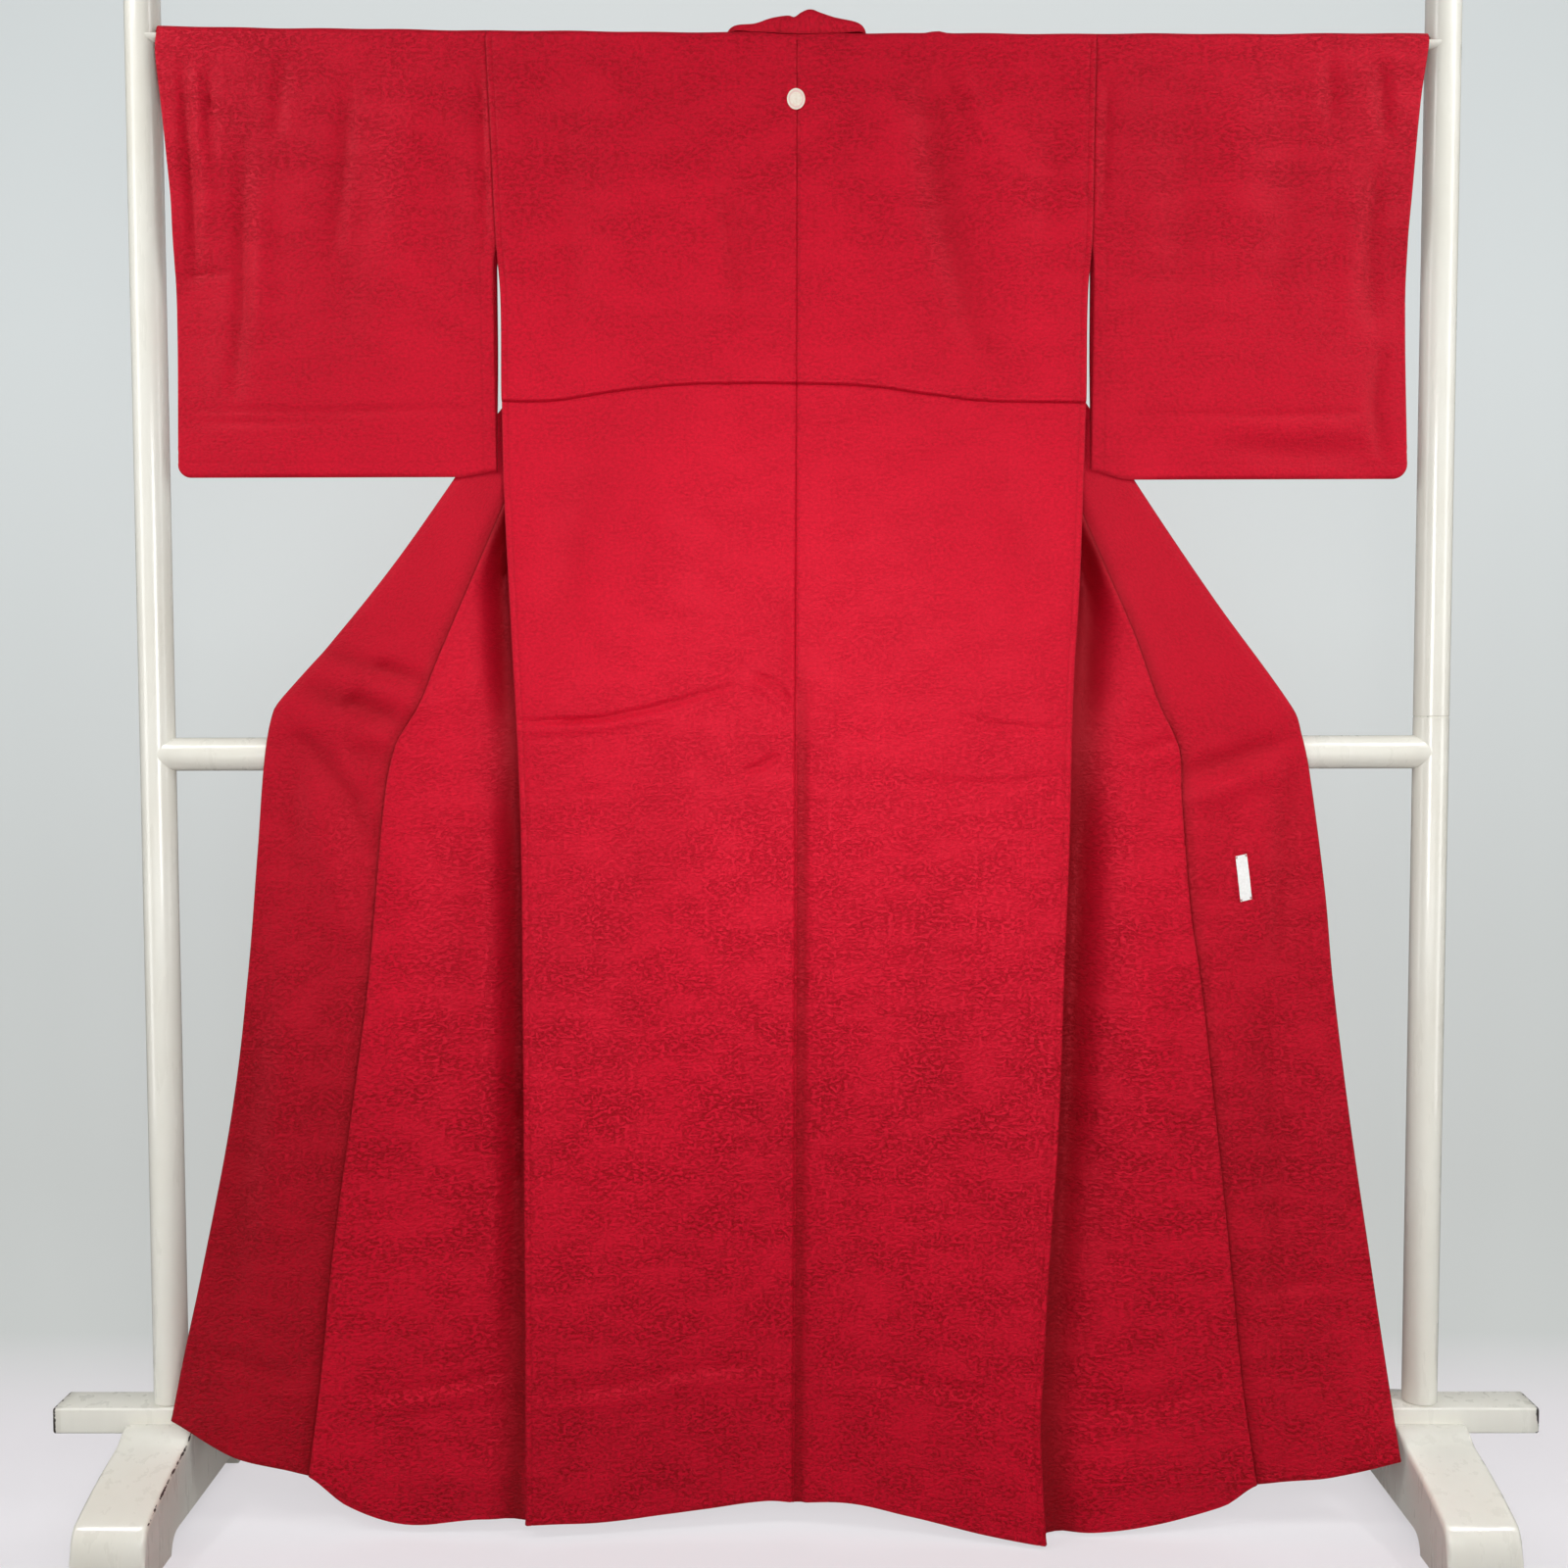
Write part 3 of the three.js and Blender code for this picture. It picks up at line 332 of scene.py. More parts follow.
WING_FOLDS = {
    "left": [
        (-3.6, 9, (-498, 923), (-440, 905), (-383, 887)), (0.5, 10, (-504, 903), (-445, 886), (-392, 868)),
        (-4.2, 13, (-524, 886), (-460, 866), (-400, 842)), (0.6, 13, (-530, 862), (-470, 842)),
        (-2.4, 14, (-470, 813), (-419, 813)),
        (-3.2, 13, (-522, 842), (-487, 800), (-457, 762), (-439, 706)),
        (2.2, 15, (-500, 770), (-478, 700), (-470, 620)),
        (-1.8, 14, (-518, 823), (-522, 750), (-520, 660)), (-1.2, 4, (-427, 944), (-408, 937)),
        (-1.2, 4, (-396, 822), (-363, 818)), (-1.8, 22, (-350, 760), (-352, 600), (-362, 440)),
        (2.2, 24, (-392, 740), (-402, 540), (-414, 380)),
        (-2.4, 24, (-560, 560), (-575, 400), (-592, 240)),
        (2.6, 26, (-520, 600), (-540, 400), (-556, 220)), (-1.8, 18, (-330, 420), (-340, 260)),
        (-1.6, 6, (-459, 140), (-377, 152), (-300, 166)), (1.6, 9, (-459, 128), (-377, 140), (-300, 153)),
        (-1.3, 10, (-620, 190), (-560, 170), (-520, 160)),
    ],
    "right": [
        (-3.0, 12, (400, 786), (450, 804), (506, 821)), (2.2, 14, (408, 764), (460, 782), (512, 800)),
        (-2.4, 13, (519, 794), (510, 690), (503, 577)), (2.0, 20, (480, 770), (478, 690), (474, 600)),
        (-1.7, 5, (348, 808), (396, 827)), (1.3, 5, (350, 798), (392, 815)),
        (-2.2, 15, (487, 560), (505, 390), (500, 181)), (2.4, 24, (534, 520), (548, 370), (560, 210)),
        (1.9, 22, (350, 700), (372, 480), (384, 280)), (-1.7, 16, (318, 420), (322, 260)),
        (-1.7, 20, (400, 560), (412, 380)), (-1.5, 9, (300, 130), (360, 136), (440, 150)),
        (-1.0, 8, (480, 250), (540, 262), (590, 270)),
    ],
}
SLEEVE_FOLDS = {
    "left": [
        (-3.0, 6, (-622, 1526), (-620, 1456), (-616, 1386), (-616, 1300)),
        (1.6, 9, (-606, 1520), (-604, 1420), (-600, 1360)), (-2.4, 5, (-597, 1522), (-596, 1420)),
        (-3.2, 7, (-563, 1440), (-566, 1287), (-578, 1180)), (1.8, 12, (-545, 1400), (-548, 1250)),
        (-2.2, 7, (-452, 1500), (-462, 1400), (-474, 1320)), (-1.8, 6, (-520, 1530), (-528, 1440)),
        (-1.2, 4, (-636, 1303), (-606, 1309), (-576, 1308)),
        (-1.1, 4, (-626, 1170), (-500, 1167), (-318, 1170)),
        (-0.9, 4, (-626, 1158), (-540, 1156), (-454, 1157)), (-1.8, 6, (-318, 1523), (-314, 1336)),
        (-1.4, 26, (-460, 1500), (-448, 1380), (-466, 1240)), (1.5, 26, (-400, 1480), (-392, 1300)),
        (-1.2, 20, (-352, 1440), (-356, 1290)),
    ],
    "right": [
        (-2.8, 7, (608, 1230), (601, 1172), (611, 1115)), (-2.6, 6, (597, 1525), (601, 1490), (606, 1440)),
        (-2.2, 7, (547, 1540), (550, 1456)), (-2.2, 8, (596, 1420), (592, 1330), (600, 1250)),
        (1.6, 14, (572, 1400), (568, 1250)), (-0.9, 4, (329, 1164), (470, 1160), (606, 1163)),
        (-1.7, 14, (440, 1130), (520, 1122), (600, 1124)),
        (1.2, 12, (430, 1150), (520, 1145), (600, 1148)),
        (-1.4, 24, (390, 1490), (402, 1360), (388, 1240)), (1.5, 28, (455, 1500), (462, 1330)),
        (-1.3, 22, (510, 1440), (500, 1280)), (-1.5, 6, (322, 1500), (318, 1360)),
    ],
}
# The creases of the fronts where they lie behind the backs.
INNER_FOLDS = [
    (-2.0, 20, (-235, 1490), (-222, 1330), (-240, 1180)), (1.8, 26, (-160, 1500), (-170, 1360)),
    (-1.8, 22, (232, 1480), (240, 1330), (226, 1190)), (1.6, 24, (166, 1500), (176, 1370)),
    (-1.6, 26, (-240, 1100), (-236, 820)), (-1.6, 26, (238, 1080), (244, 800)),
    (-1.8, 24, (-225, 700), (-218, 380)), (-1.8, 24, (226, 700), (220, 360)),
]

# How much of a fold's height is lost towards both ends of its line, and by how much all are raised.
END_FADE = 0.85
FOLD_GAIN = 1.9
# The waves of the swell: how long each is across and upwards, and its height.
SWELLS = [(410, 1900, 0.7), (230, 900, 0.55), (128, 1300, 0.4), (75, 420, 0.24), (46, 190, 0.14)]
# A wave's full turn.
ROUND = 6.283


def fold_height(folds, x, z):
    """The folds' heights added up at each place: each is a bell of the distance from its line, faded
    along it towards both ends."""
    place = joined(x, z)
    total = np.zeros(place.shape[:-1])
    for height, width, *line in folds:
        line = np.array(line, float)
        steps = np.linalg.norm(np.diff(line, axis=0), axis=1)
        nearest = np.full(total.shape, np.inf)
        along = np.zeros(total.shape)
        for start, end, gone, step in zip(line, line[1:], np.cumsum(steps) - steps, steps):
            t = np.clip(((place - start) @ (end - start)) / step**2, 0, 1)
            away = np.linalg.norm(place - start - t[..., None] * (end - start), axis=-1)
            closer = away < nearest
            nearest = np.where(closer, away, nearest)
            along = np.where(closer, (gone + t * step) / steps.sum(), along)
        total += height * bell(nearest, width) * (1 - END_FADE * np.abs(2 * along - 1) ** 3)
    return FOLD_GAIN * total


def trough_shade(folds):
    """How far a trough's cloth is darkened, by the softplus of its depth in millimetres, so that the
    shade has no edge."""
    return np.minimum(0.1 * np.logaddexp(0, -folds / 2), 0.4)


def swell(x, z, seed):
    """The slow unevenness of hanging silk: crossed sine waves, long upwards and short across."""
    total = 0
    for i, (across, up, height) in enumerate(SWELLS):
        turn = seed * (1.7 + i) + i * i
        lean = 0.3 * np.sin(z / 330 + turn)
        wave = np.sin(ROUND * x / across + lean + turn) * np.sin(ROUND * z / up + 1.3 * turn)
        total = total + height * wave
    return total


# ------------------------------------------------------------------ meshes


def to_scene(name, data):
    """An object of the data, put into the scene."""
    thing = bpy.data.objects.new(name, data)
    bpy.context.scene.collection.objects.link(thing)
    return thing


def mesh_piece(name, points, faces, material, slot=None, uv=None, seam=None, sharp=40, ends=()):
    """A mesh object from points in millimetres and four-cornered faces, turned right side out. ends
    are flat faces of many corners that close it, turned as the others are. slot is not used."""
    slot = slot or material.name.split(".")[0]
    used, faces = np.unique(faces, return_inverse=True)
    points = points[used]
    faces = faces.reshape(-1, 4)
    a, b, c, d = (points[faces[:, k]] for k in range(4))
    volume = np.einsum("ij,ij->i", a, np.cross(b, c) + np.cross(c, d)).sum()
    if volume < 0:
        faces = faces[:, ::-1]
        ends = [end[::-1] for end in ends]
    mesh = bpy.data.meshes.new(name)
    mesh.from_pydata((points * MM).tolist(), [], faces.tolist() + [list(end) for end in ends])
    if uv is not None:
        layer = mesh.uv_layers.new(name="cloth")
        layer.data.foreach_set("uv", uv[used][faces].astype(np.float32).ravel())
    # The seam attribute holds dark seam lines, wear on the stand, and painted shade on the cloth.
    if seam is not None:
        mark = mesh.attributes.new("seam", "FLOAT", "POINT")
        mark.data.foreach_set("value", seam[used].astype(np.float32))
    mesh.shade_smooth()
    mesh.set_sharp_from_angle(angle=radians(sharp))
    if ends:
        flat_ends(mesh, len(faces))
    mesh.materials.append(material)
    piece = to_scene(name, mesh)
    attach(piece, "root")
    return piece


def flat_ends(mesh, first):
    """Flat shading for the faces from the first one on, with sharp edges round them."""
    for face in mesh.polygons[first:]:
        face.use_smooth = False
        for loop in face.loop_indices:
            mesh.edges[mesh.loops[loop].edge_index].use_edge_sharp = True


def grid_faces(rows, cols, ring=False):
    """The four corners of each cell of a grid; with ring, each row closes on itself."""
    index = np.arange(rows * cols).reshape(rows, cols)
    if ring:
        index = np.concatenate([index, index[:, :1]], 1)
    return joined(index[:-1, :-1], index[1:, :-1], index[1:, 1:], index[:-1, 1:])


def cloth(name, grid, uv, material, half=WALL / 2, seam=0.0, ring=False, kept=None):
    """A sheet of cloth with its two faces: the grid of middle points is moved along its normals by
    half the thickness to each side, and every open edge is closed with a rim."""
    rows, cols = grid.shape[:2]
    along = np.gradient(grid, axis=0)
    across = np.roll(grid, -1, 1) - np.roll(grid, 1, 1) if ring else np.gradient(grid, axis=1)
    lift = unit(np.cross(along, across)) * np.broadcast_to(half, (rows, cols))[..., None]
    count = rows * cols
    points = np.concatenate([(grid + lift).reshape(-1, 3), (grid - lift).reshape(-1, 3)])
    face = grid_faces(rows, cols, ring)
    face = face[kept] if kept is not None else face.reshape(-1, 4)
    sides = joined(face, np.roll(face, -1, 1)).reshape(-1, 2)
    there = sides[:, 0] * count + sides[:, 1]
    back = sides[:, 1] * count + sides[:, 0]
    start, end = sides[~np.isin(back, there)].T
    rim = joined(end, start, start + count, end + count)
    faces = np.concatenate([face, face[:, ::-1] + count, rim])
    uv = np.tile(uv.reshape(-1, 2) * MM, (2, 1))
    marks = np.tile(np.broadcast_to(np.clip(seam, 0, 1), (rows, cols)).ravel(), 2)
    return mesh_piece(name, points, faces, material, uv=uv, seam=marks, sharp=60)


def carried(name, rings, material, marks=None):
    """A solid from closed rings (rings, points, 3) carried along a line: its skin, and at both ends a
    cap that narrows to the ring's middle in two steps. marks gives the wear at points."""
    caps = [mix(rings[k], rings[k].mean(0), share)[None] for k in (0, -1) for share in (0.97, 0.6)]
    shape = np.concatenate([caps[0], caps[1], rings, caps[3], caps[2]])
    rows, cols = shape.shape[:2]
    faces = grid_faces(rows, cols, ring=True).reshape(-1, 4)
    ends = []
    for first in (0, (rows - 1) * cols):
        near = first + np.arange(cols // 2)
        far = first + cols - 1 - np.arange(cols // 2)
        strip = joined(near[:-1], near[1:], far[1:], far[:-1])
        ends.append(strip[:, ::-1] if first == 0 else strip)
    seam = marks(shape) if marks else np.zeros((rows, cols))
    return mesh_piece(name, shape.reshape(-1, 3), np.concatenate([faces, *ends]), material, seam=seam.ravel())


# ------------------------------------------------------------------ materials


def feed(tree, value, socket):
    """A socket's value: a link from another socket, or a constant."""
    if isinstance(value, bpy.types.NodeSocket):
        tree.links.new(value, socket)
    else:
        socket.default_value = value


def new_node(tree, kind, values=(), **settings):
    """A node with its settings, its inputs fed by name or number."""
    node = tree.nodes.new(kind)
    for key, value in settings.items():
        setattr(node, key, value)
    for key, value in dict(values).items():
        feed(tree, value, node.inputs[key])
    return node


def new_group(name, inputs, outputs):
    """An empty node group with its sockets, the inputs given as name: (type, value)."""
    group = bpy.data.node_groups.new(name, "ShaderNodeTree")
    for key, (kind, value) in inputs.items():
        socket = group.interface.new_socket(key, in_out="INPUT", socket_type="NodeSocket" + kind)
        socket.default_value = value
    for key, kind in outputs.items():
        group.interface.new_socket(key, in_out="OUTPUT", socket_type="NodeSocket" + kind)
    start = group.nodes.new("NodeGroupInput")
    end = group.nodes.new("NodeGroupOutput")
    return group, start.outputs, end.inputs


def placed(tree, group, inputs):
    """The outputs of a node group with its own inputs."""
    return new_node(tree, "ShaderNodeGroup", inputs, node_tree=group).outputs


def noise(tree, coordinates, scale, detail=2.0, roughness=0.5):
    """A noise value over coordinates that are multiplied by a scale for each axis."""
    place = new_node(tree, "ShaderNodeVectorMath", {0: coordinates, 1: scale}, operation="MULTIPLY")
    values = {"Vector": place.outputs[0], "Scale": 1.0, "Detail": detail, "Roughness": roughness}
    return new_node(tree, "ShaderNodeTexNoise", values).outputs[0]


def ranged(tree, value, low, high, to_low=0.0, to_high=1.0):
    """A value's range mapped to another one and kept inside it."""
    values = {"Value": value, "From Min": low, "From Max": high, "To Min": to_low, "To Max": to_high}
    return new_node(tree, "ShaderNodeMapRange", values).outputs["Result"]


def math(tree, operation, a, b=0.0):
    """Two values, each a socket or a number, put together."""
    return new_node(tree, "ShaderNodeMath", {0: a, 1: b}, operation=operation).outputs[0]


def mixed(tree, factor, a, b, blend="MIX"):
    """Two colours mixed, each a socket or a colour."""
    values = {0: factor, 6: a, 7: b}
    return new_node(tree, "ShaderNodeMix", values, data_type="RGBA", blend_type=blend).outputs[2]


def toned(tree, colour, tone):
    """A colour made lighter or darker by a tone of about 1."""
    tint = new_node(tree, "ShaderNodeCombineColor", {0: tone, 1: tone, 2: tone})
    return mixed(tree, 1.0, colour, tint.outputs[0], "MULTIPLY")


def coordinates(tree):
    """The coordinates of a place: its UV, and its Object ones in metres."""
    return new_node(tree, "ShaderNodeTexCoord").outputs


def height_of(tree):
    """Height over the floor in metres."""
    place = coordinates(tree)["Object"]
    return new_node(tree, "ShaderNodeSeparateXYZ", {0: place}).outputs["Z"]


def seam_wear_and_shade_mark(tree):
    """The mesh's own marks: dark seam lines, wear, and painted shade."""
    return new_node(tree, "ShaderNodeAttribute", attribute_name="seam").outputs["Fac"]


def bump(tree, height, strength, distance):
    """The normal of a relief whose heights are distance metres high."""
    values = {"Strength": strength, "Distance": distance, "Height": height}
    return new_node(tree, "ShaderNodeBump", values).outputs["Normal"]


def new_material(name, look, *details):
    """A material whose Principled shader is fed with the values that a look returns for its tree."""
    material = bpy.data.materials.new(name)
    material.use_nodes = True
    tree = material.node_tree
    shader = tree.nodes["Principled BSDF"]
    for key, value in look(tree, *details).items():
        feed(tree, value, shader.inputs[key])
    return material


def fleck_ground():
    """The silk's ground: short flat flecks in uneven patches, over a fine crepe grain."""
    inputs = {
        "Vector": ("Vector", (0, 0, 0)),
        "Ground": ("Color", (1, 1, 1, 1)),
        "Fleck": ("Color", (0, 0, 0, 1)),
        "Amount": ("Float", 1.0),
    }
    group, given, out = new_group("fleck_ground", inputs, {"Color": "Color", "Height": "Float"})
    place = given["Vector"]
    flecks = ranged(group, noise(group, place, (190, 305, 1), 4.0, 0.64), 0.47, 0.575)
    patches = ranged(group, noise(group, place, (16, 30, 1), 4.0, 0.62), 0.36, 0.6, 0.35, 1.0)
    wanted = math(group, "MULTIPLY", math(group, "MULTIPLY", flecks, patches), given["Amount"])
    grain = noise(group, place, (310, 390, 1), 3.0, 0.65)
    ground = mixed(group, wanted, given["Ground"], given["Fleck"])
    feed(group, toned(group, ground, ranged(group, grain, 0.3, 0.7, 0.82, 1.18)), out["Color"])
    pebble = math(group, "MULTIPLY", noise(group, place, (260, 420, 1), 2.0, 0.55), 0.5)
    relief = math(group, "ADD", pebble, math(group, "MULTIPLY", grain, 0.3))
    feed(group, math(group, "SUBTRACT", relief, wanted), out["Height"])
    return group


def plain_weave():
    """A plain weave: two crossed waves for the threads, with a slight unevenness."""
    inputs = {"Vector": ("Vector", (0, 0, 0)), "Threads": ("Float", 2200.0)}
    group, given, out = new_group("plain_weave", inputs, {"Height": "Float", "Tone": "Float"})
    place = given["Vector"]
    split = new_node(group, "ShaderNodeSeparateXYZ", {0: place}).outputs
    waves = [math(group, "SINE", math(group, "MULTIPLY", split[k], given["Threads"])) for k in (0, 1)]
    feed(group, math(group, "MULTIPLY", *waves), out["Height"])
    feed(group, ranged(group, noise(group, place, (420, 420, 420), 3.0), 0.3, 0.7), out["Tone"])
    return group


def worn_edge():
    """Chips and rubbing: where the piece's edge mark is high and a rough noise passes a level."""
    inputs = {"Edge": ("Float", 0.0), "Level": ("Float", 0.5), "Size": ("Float", 60.0)}
    group, given, out = new_group("worn_edge", inputs, {"Chip": "Float"})
    values = {0: coordinates(group)["Object"], "Scale": given["Size"]}
    size = new_node(group, "ShaderNodeVectorMath", values, operation="SCALE")
    rough = noise(group, size.outputs[0], (1, 1, 1), 5.0, 0.7)
    wear = math(group, "MULTIPLY", rough, given["Edge"])
    past = math(group, "MULTIPLY", math(group, "SUBTRACT", wear, given["Level"]), 30.0)
    feed(group, ranged(group, past, 0.0, 1.0), out["Chip"])
    return group


FLECKS = fleck_ground()
WEAVE = plain_weave()
WORN = worn_edge()


def silk(tree, ground, fleck, seam_and_shade_colour):
    """Red figured silk: flecks that show more towards the hem, darker thread lines and painted shade from the
    seam marks, a soft sheen.
    """
    place = coordinates(tree)
    height = height_of(tree)
    towards_hem = ranged(tree, height, 0.9, 0.45, 0.3, 1.0)
    towards_rod = ranged(tree, height, 1.1, 1.4, 0.0, 0.35)
    amount = math(tree, "ADD", towards_hem, towards_rod)
    inputs = {"Vector": place["UV"], "Ground": ground, "Fleck": fleck, "Amount": amount}
    flecks = placed(tree, FLECKS, inputs)
    broad = ranged(tree, noise(tree, place["Object"], (5, 5, 3.4), 3.0), 0.3, 0.7, 0.93, 1.07)
    return {
        "Base Color": mixed(tree, seam_wear_and_shade_mark(tree), toned(tree, flecks["Color"], broad), seam_and_shade_colour),
        "Roughness": ranged(tree, flecks["Height"], -0.4, 1.2, 0.6, 0.46),
        "Specular IOR Level": 1.0,
        "Specular Tint": (1.0, 0.11, 0.15, 1.0),
        "Sheen Weight": 0.015,
        "Sheen Roughness": 0.4,
        "Sheen Tint": (1.0, 0.12, 0.16, 1.0),
        "Normal": bump(tree, flecks["Height"], 0.8, 0.0009),
    }


def ivory_silk(tree):
    """The undyed crest place: ivory silk with a fine pale ring near its rim, made from the UV's
    distance from the middle."""
    place = coordinates(tree)
    weave = placed(tree, WEAVE, {"Vector": place["Object"], "Threads": 7000.0})
    away = new_node(tree, "ShaderNodeVectorMath", {0: place["UV"]}, operation="LENGTH")
    radius = away.outputs["Value"]
    ring = math(tree, "SUBTRACT", ranged(tree, radius, 0.006, 0.0063), ranged(tree, radius, 0.0077, 0.008))
    ground = mixed(tree, weave["Tone"], (0.8, 0.68, 0.56, 1), (0.86, 0.78, 0.68, 1))
    ringed = mixed(tree, math(tree, "MULTIPLY", ring, 0.55), ground, (0.78, 0.42, 0.4, 1))
    return {
        "Base Color": mixed(tree, ranged(tree, radius, 0.0092, 0.0104), ringed, (0.72, 0.3, 0.28, 1)),
        "Roughness": ranged(tree, weave["Tone"], 0, 1, 0.55, 0.7),
        "Specular IOR Level": 0.3,
        "Sheen Weight": 0.08,
        "Normal": bump(tree, weave["Height"], 0.3, 0.0002),
    }


def woven_tape(tree):
    """White woven tape."""
    weave = placed(tree, WEAVE, {"Vector": coordinates(tree)["Object"], "Threads": 5200.0})
    return {
        "Base Color": mixed(tree, weave["Tone"], (0.8, 0.79, 0.76, 1), (0.9, 0.89, 0.87, 1)),
        "Roughness": ranged(tree, weave["Tone"], 0, 1, 0.62, 0.75),
        "Specular IOR Level": 0.3,
        "Normal": bump(tree, weave["Height"], 0.35, 0.0003),
    }


def dark_wood(tree):
    """Dark stained wood: a long grain along the rod, with rubbed ends."""
    grain = noise(tree, coordinates(tree)["Object"], (9, 420, 420), 4.0, 0.6)
    tone = mixed(tree, ranged(tree, grain, 0.35, 0.65), (0.014, 0.008, 0.005, 1), (0.06, 0.03, 0.017, 1))
    chips = placed(tree, WORN, {"Edge": seam_wear_and_shade_mark(tree), "Level": 0.48, "Size": 160.0})
    return {
        "Base Color": mixed(tree, chips["Chip"], tone, (0.2, 0.12, 0.07, 1)),
        "Roughness": ranged(tree, grain, 0.3, 0.7, 0.4, 0.6),
        "Coat Weight": 0.2,
        "Coat Roughness": 0.3,
        "Normal": bump(tree, grain, 0.3, 0.0003),
    }


def gloss_paint(tree):
    """Cream gloss paint: faint brush marks and stains, chipped to dark wood at the worn edges."""
    place = coordinates(tree)["Object"]
    brush = noise(tree, place, (70, 70, 9), 4.0, 0.6)
    stain = noise(tree, place, (7, 7, 5), 4.0, 0.6)
    paint = mixed(tree, ranged(tree, stain, 0.35, 0.7), (0.9, 0.885, 0.8, 1), (0.83, 0.8, 0.7, 1))
    streaked = mixed(tree, ranged(tree, brush, 0.3, 0.75, 0.0, 0.25), paint, (0.8, 0.78, 0.7, 1))
    mark = seam_wear_and_shade_mark(tree)
    chip = placed(tree, WORN, {"Edge": mark, "Level": 0.47, "Size": 75.0})["Chip"]
    grimy = mixed(tree, math(tree, "MULTIPLY", mark, 0.18), streaked, (0.4, 0.34, 0.25, 1))
    smooth = ranged(tree, brush, 0.3, 0.7, 0.24, 0.36)
    height = math(tree, "SUBTRACT", math(tree, "MULTIPLY", brush, 0.25), chip)
    return {
        "Base Color": mixed(tree, chip, grimy, (0.03, 0.02, 0.015, 1)),
        "Roughness": math(tree, "ADD", smooth, math(tree, "MULTIPLY", chip, 0.3)),
        "Specular IOR Level": 0.45,
        "Coat Weight": 0.6,
        "Coat Roughness": 0.09,
        "Normal": bump(tree, height, 0.35, 0.0005),
    }


# How strongly the paper glows for the camera.
PAPER_GLOW = 0.67


def paper_with_painted_shade(tree, one_sided):
    """Pale paper, pink on the floor and cool grey further up, with painted shade: darkest a little above the
    floor and lighter further up the wall. It glows for the camera alone, so that it looks evenly lit and
    lights nothing. One-sided, it can't be seen from behind."""
    height = height_of(tree)
    # Painted shade: darkest a little above the floor, lighter further up the wall.
    low = mixed(tree, ranged(tree, height, 0.0, 0.05), (0.8, 0.775, 0.8, 1), (0.63, 0.655, 0.64, 1))
    tone = mixed(tree, ranged(tree, height, 0.2, 1.4), low, (0.73, 0.775, 0.775, 1))
    if one_sided:
        away = new_node(tree, "ShaderNodeNewGeometry").outputs["Backfacing"]
        clear = new_node(tree, "ShaderNodeBsdfTransparent").outputs[0]
        facing = tree.nodes["Principled BSDF"].outputs[0]
        choice = new_node(tree, "ShaderNodeMixShader", {0: away, 1: facing, 2: clear})
        feed(tree, choice.outputs[0], tree.nodes["Material Output"].inputs["Surface"])
    return {
        "Base Color": mixed(tree, 0.6, tone, (0, 0, 0, 1)),
        "Roughness": 0.85,
        "Specular IOR Level": 0.1,
        "Emission Color": tone,
        "Emission Strength": math(tree, "MULTIPLY", seen_by_camera(tree), PAPER_GLOW),
    }


def seen_by_camera(tree):
    """1 for what the camera sees straight and 0 for all other rays."""
    return new_node(tree, "ShaderNodeLightPath").outputs["Is Camera Ray"]


# The colours of the ground, the flecks, and the seam lines and painted shade.
SILK_LOOK = ((0.52, 0.0025, 0.019, 1), (0.27, 0.0006, 0.004, 1), (0.2, 0.0006, 0.003, 1))
THREAD_LOOK = ((0.3, 0.003, 0.01, 1), (0.2, 0.002, 0.006, 1), (0.2, 0.001, 0.004, 1))
RED_SILK = new_material("red_silk", silk, *SILK_LOOK)
RED_THREAD = new_material("red_thread", silk, *THREAD_LOOK)
CREST_IVORY = new_material("crest_ivory", ivory_silk)
LABEL_CLOTH = new_material("label_cloth", woven_tape)
ROD_WOOD = new_material("rod_wood", dark_wood)
CREAM_PAINT = new_material("cream_paint", gloss_paint)

# ------------------------------------------------------------------ the cloth's forms

# Distances from an edge at which its turned rim, its stitch line and what lies beside them need
# their own grid lines.
EDGE_STEPS = np.array([0, 0.6, 1.3, 2.1, 3.1, 4.3, 5.4, 6.2, 7.2, 9, 12])
# The back's grid lines in height: close together at the waist's creases and at the tuck.
BACK_LEVELS = [(0, 764, 5.8), (765, 906, 2.0), (908, 1170, 5.8), (1171, 1203, 1.0), (1205, 1542, 5.6)]
# Heights up to which the hem's slope is felt in the backs and in the fronts.
HEM_RISE_END = 400
FRONT_LIFT_END = 860
# The waist tuck: its usual height, its step, and how far the step and the slant of its line reach.
TUCK = 1186
TUCK_STEP = 1.6
TUCK_EASE = 90
SLANT_REACH = 120
# How far the two layers behind a side seam follow that seam's depth.
NEAR_LEAN = 0.7
FAR_LEAN = 0.35
# Where in a front's width its fold can lie.
FOLD_INSIDE = (8, 232)
# The valley beside each side seam, sunk in and darkened with painted shade: the distance of its deepest line,
# and its half width.
VALLEY = {"left": (9, 18), "right": (13, 23)}
# How dark the painted shade on each okumi's lower part is, and the height at which its grid ends.
LOW_SHADE = {"left": 0.42, "right": 0.08}
OKUMI_TOP = 1316
# The distance of the stitch line from a side seam.
STITCH_LINE = 6.2


def rod_z(x):
    """The rod's height: a parabola through its two ends and its middle."""
    tilt = (ROD_Z["right"] - ROD_Z["left"]) / 2
    sag = (ROD_Z["right"] + ROD_Z["left"]) / 2 - ROD_Z["middle"]
    t = x / ROD_HALF
    return ROD_Z["middle"] + tilt * t + sag * t * t


def drape_centre_z(x):
    """Height of the middle of the cloth's turn over the rod, with its small rucks."""
    rucks = 0.55 + 0.55 * np.sin(x / 19 + 1) * np.sin(x / 47) + 2.4 * bell(x - 148, 8)
    return rod_z(x) + ROD_RADIUS + ROD_CLEARANCE + WALL / 2 - DRAPE_RADIUS + rucks


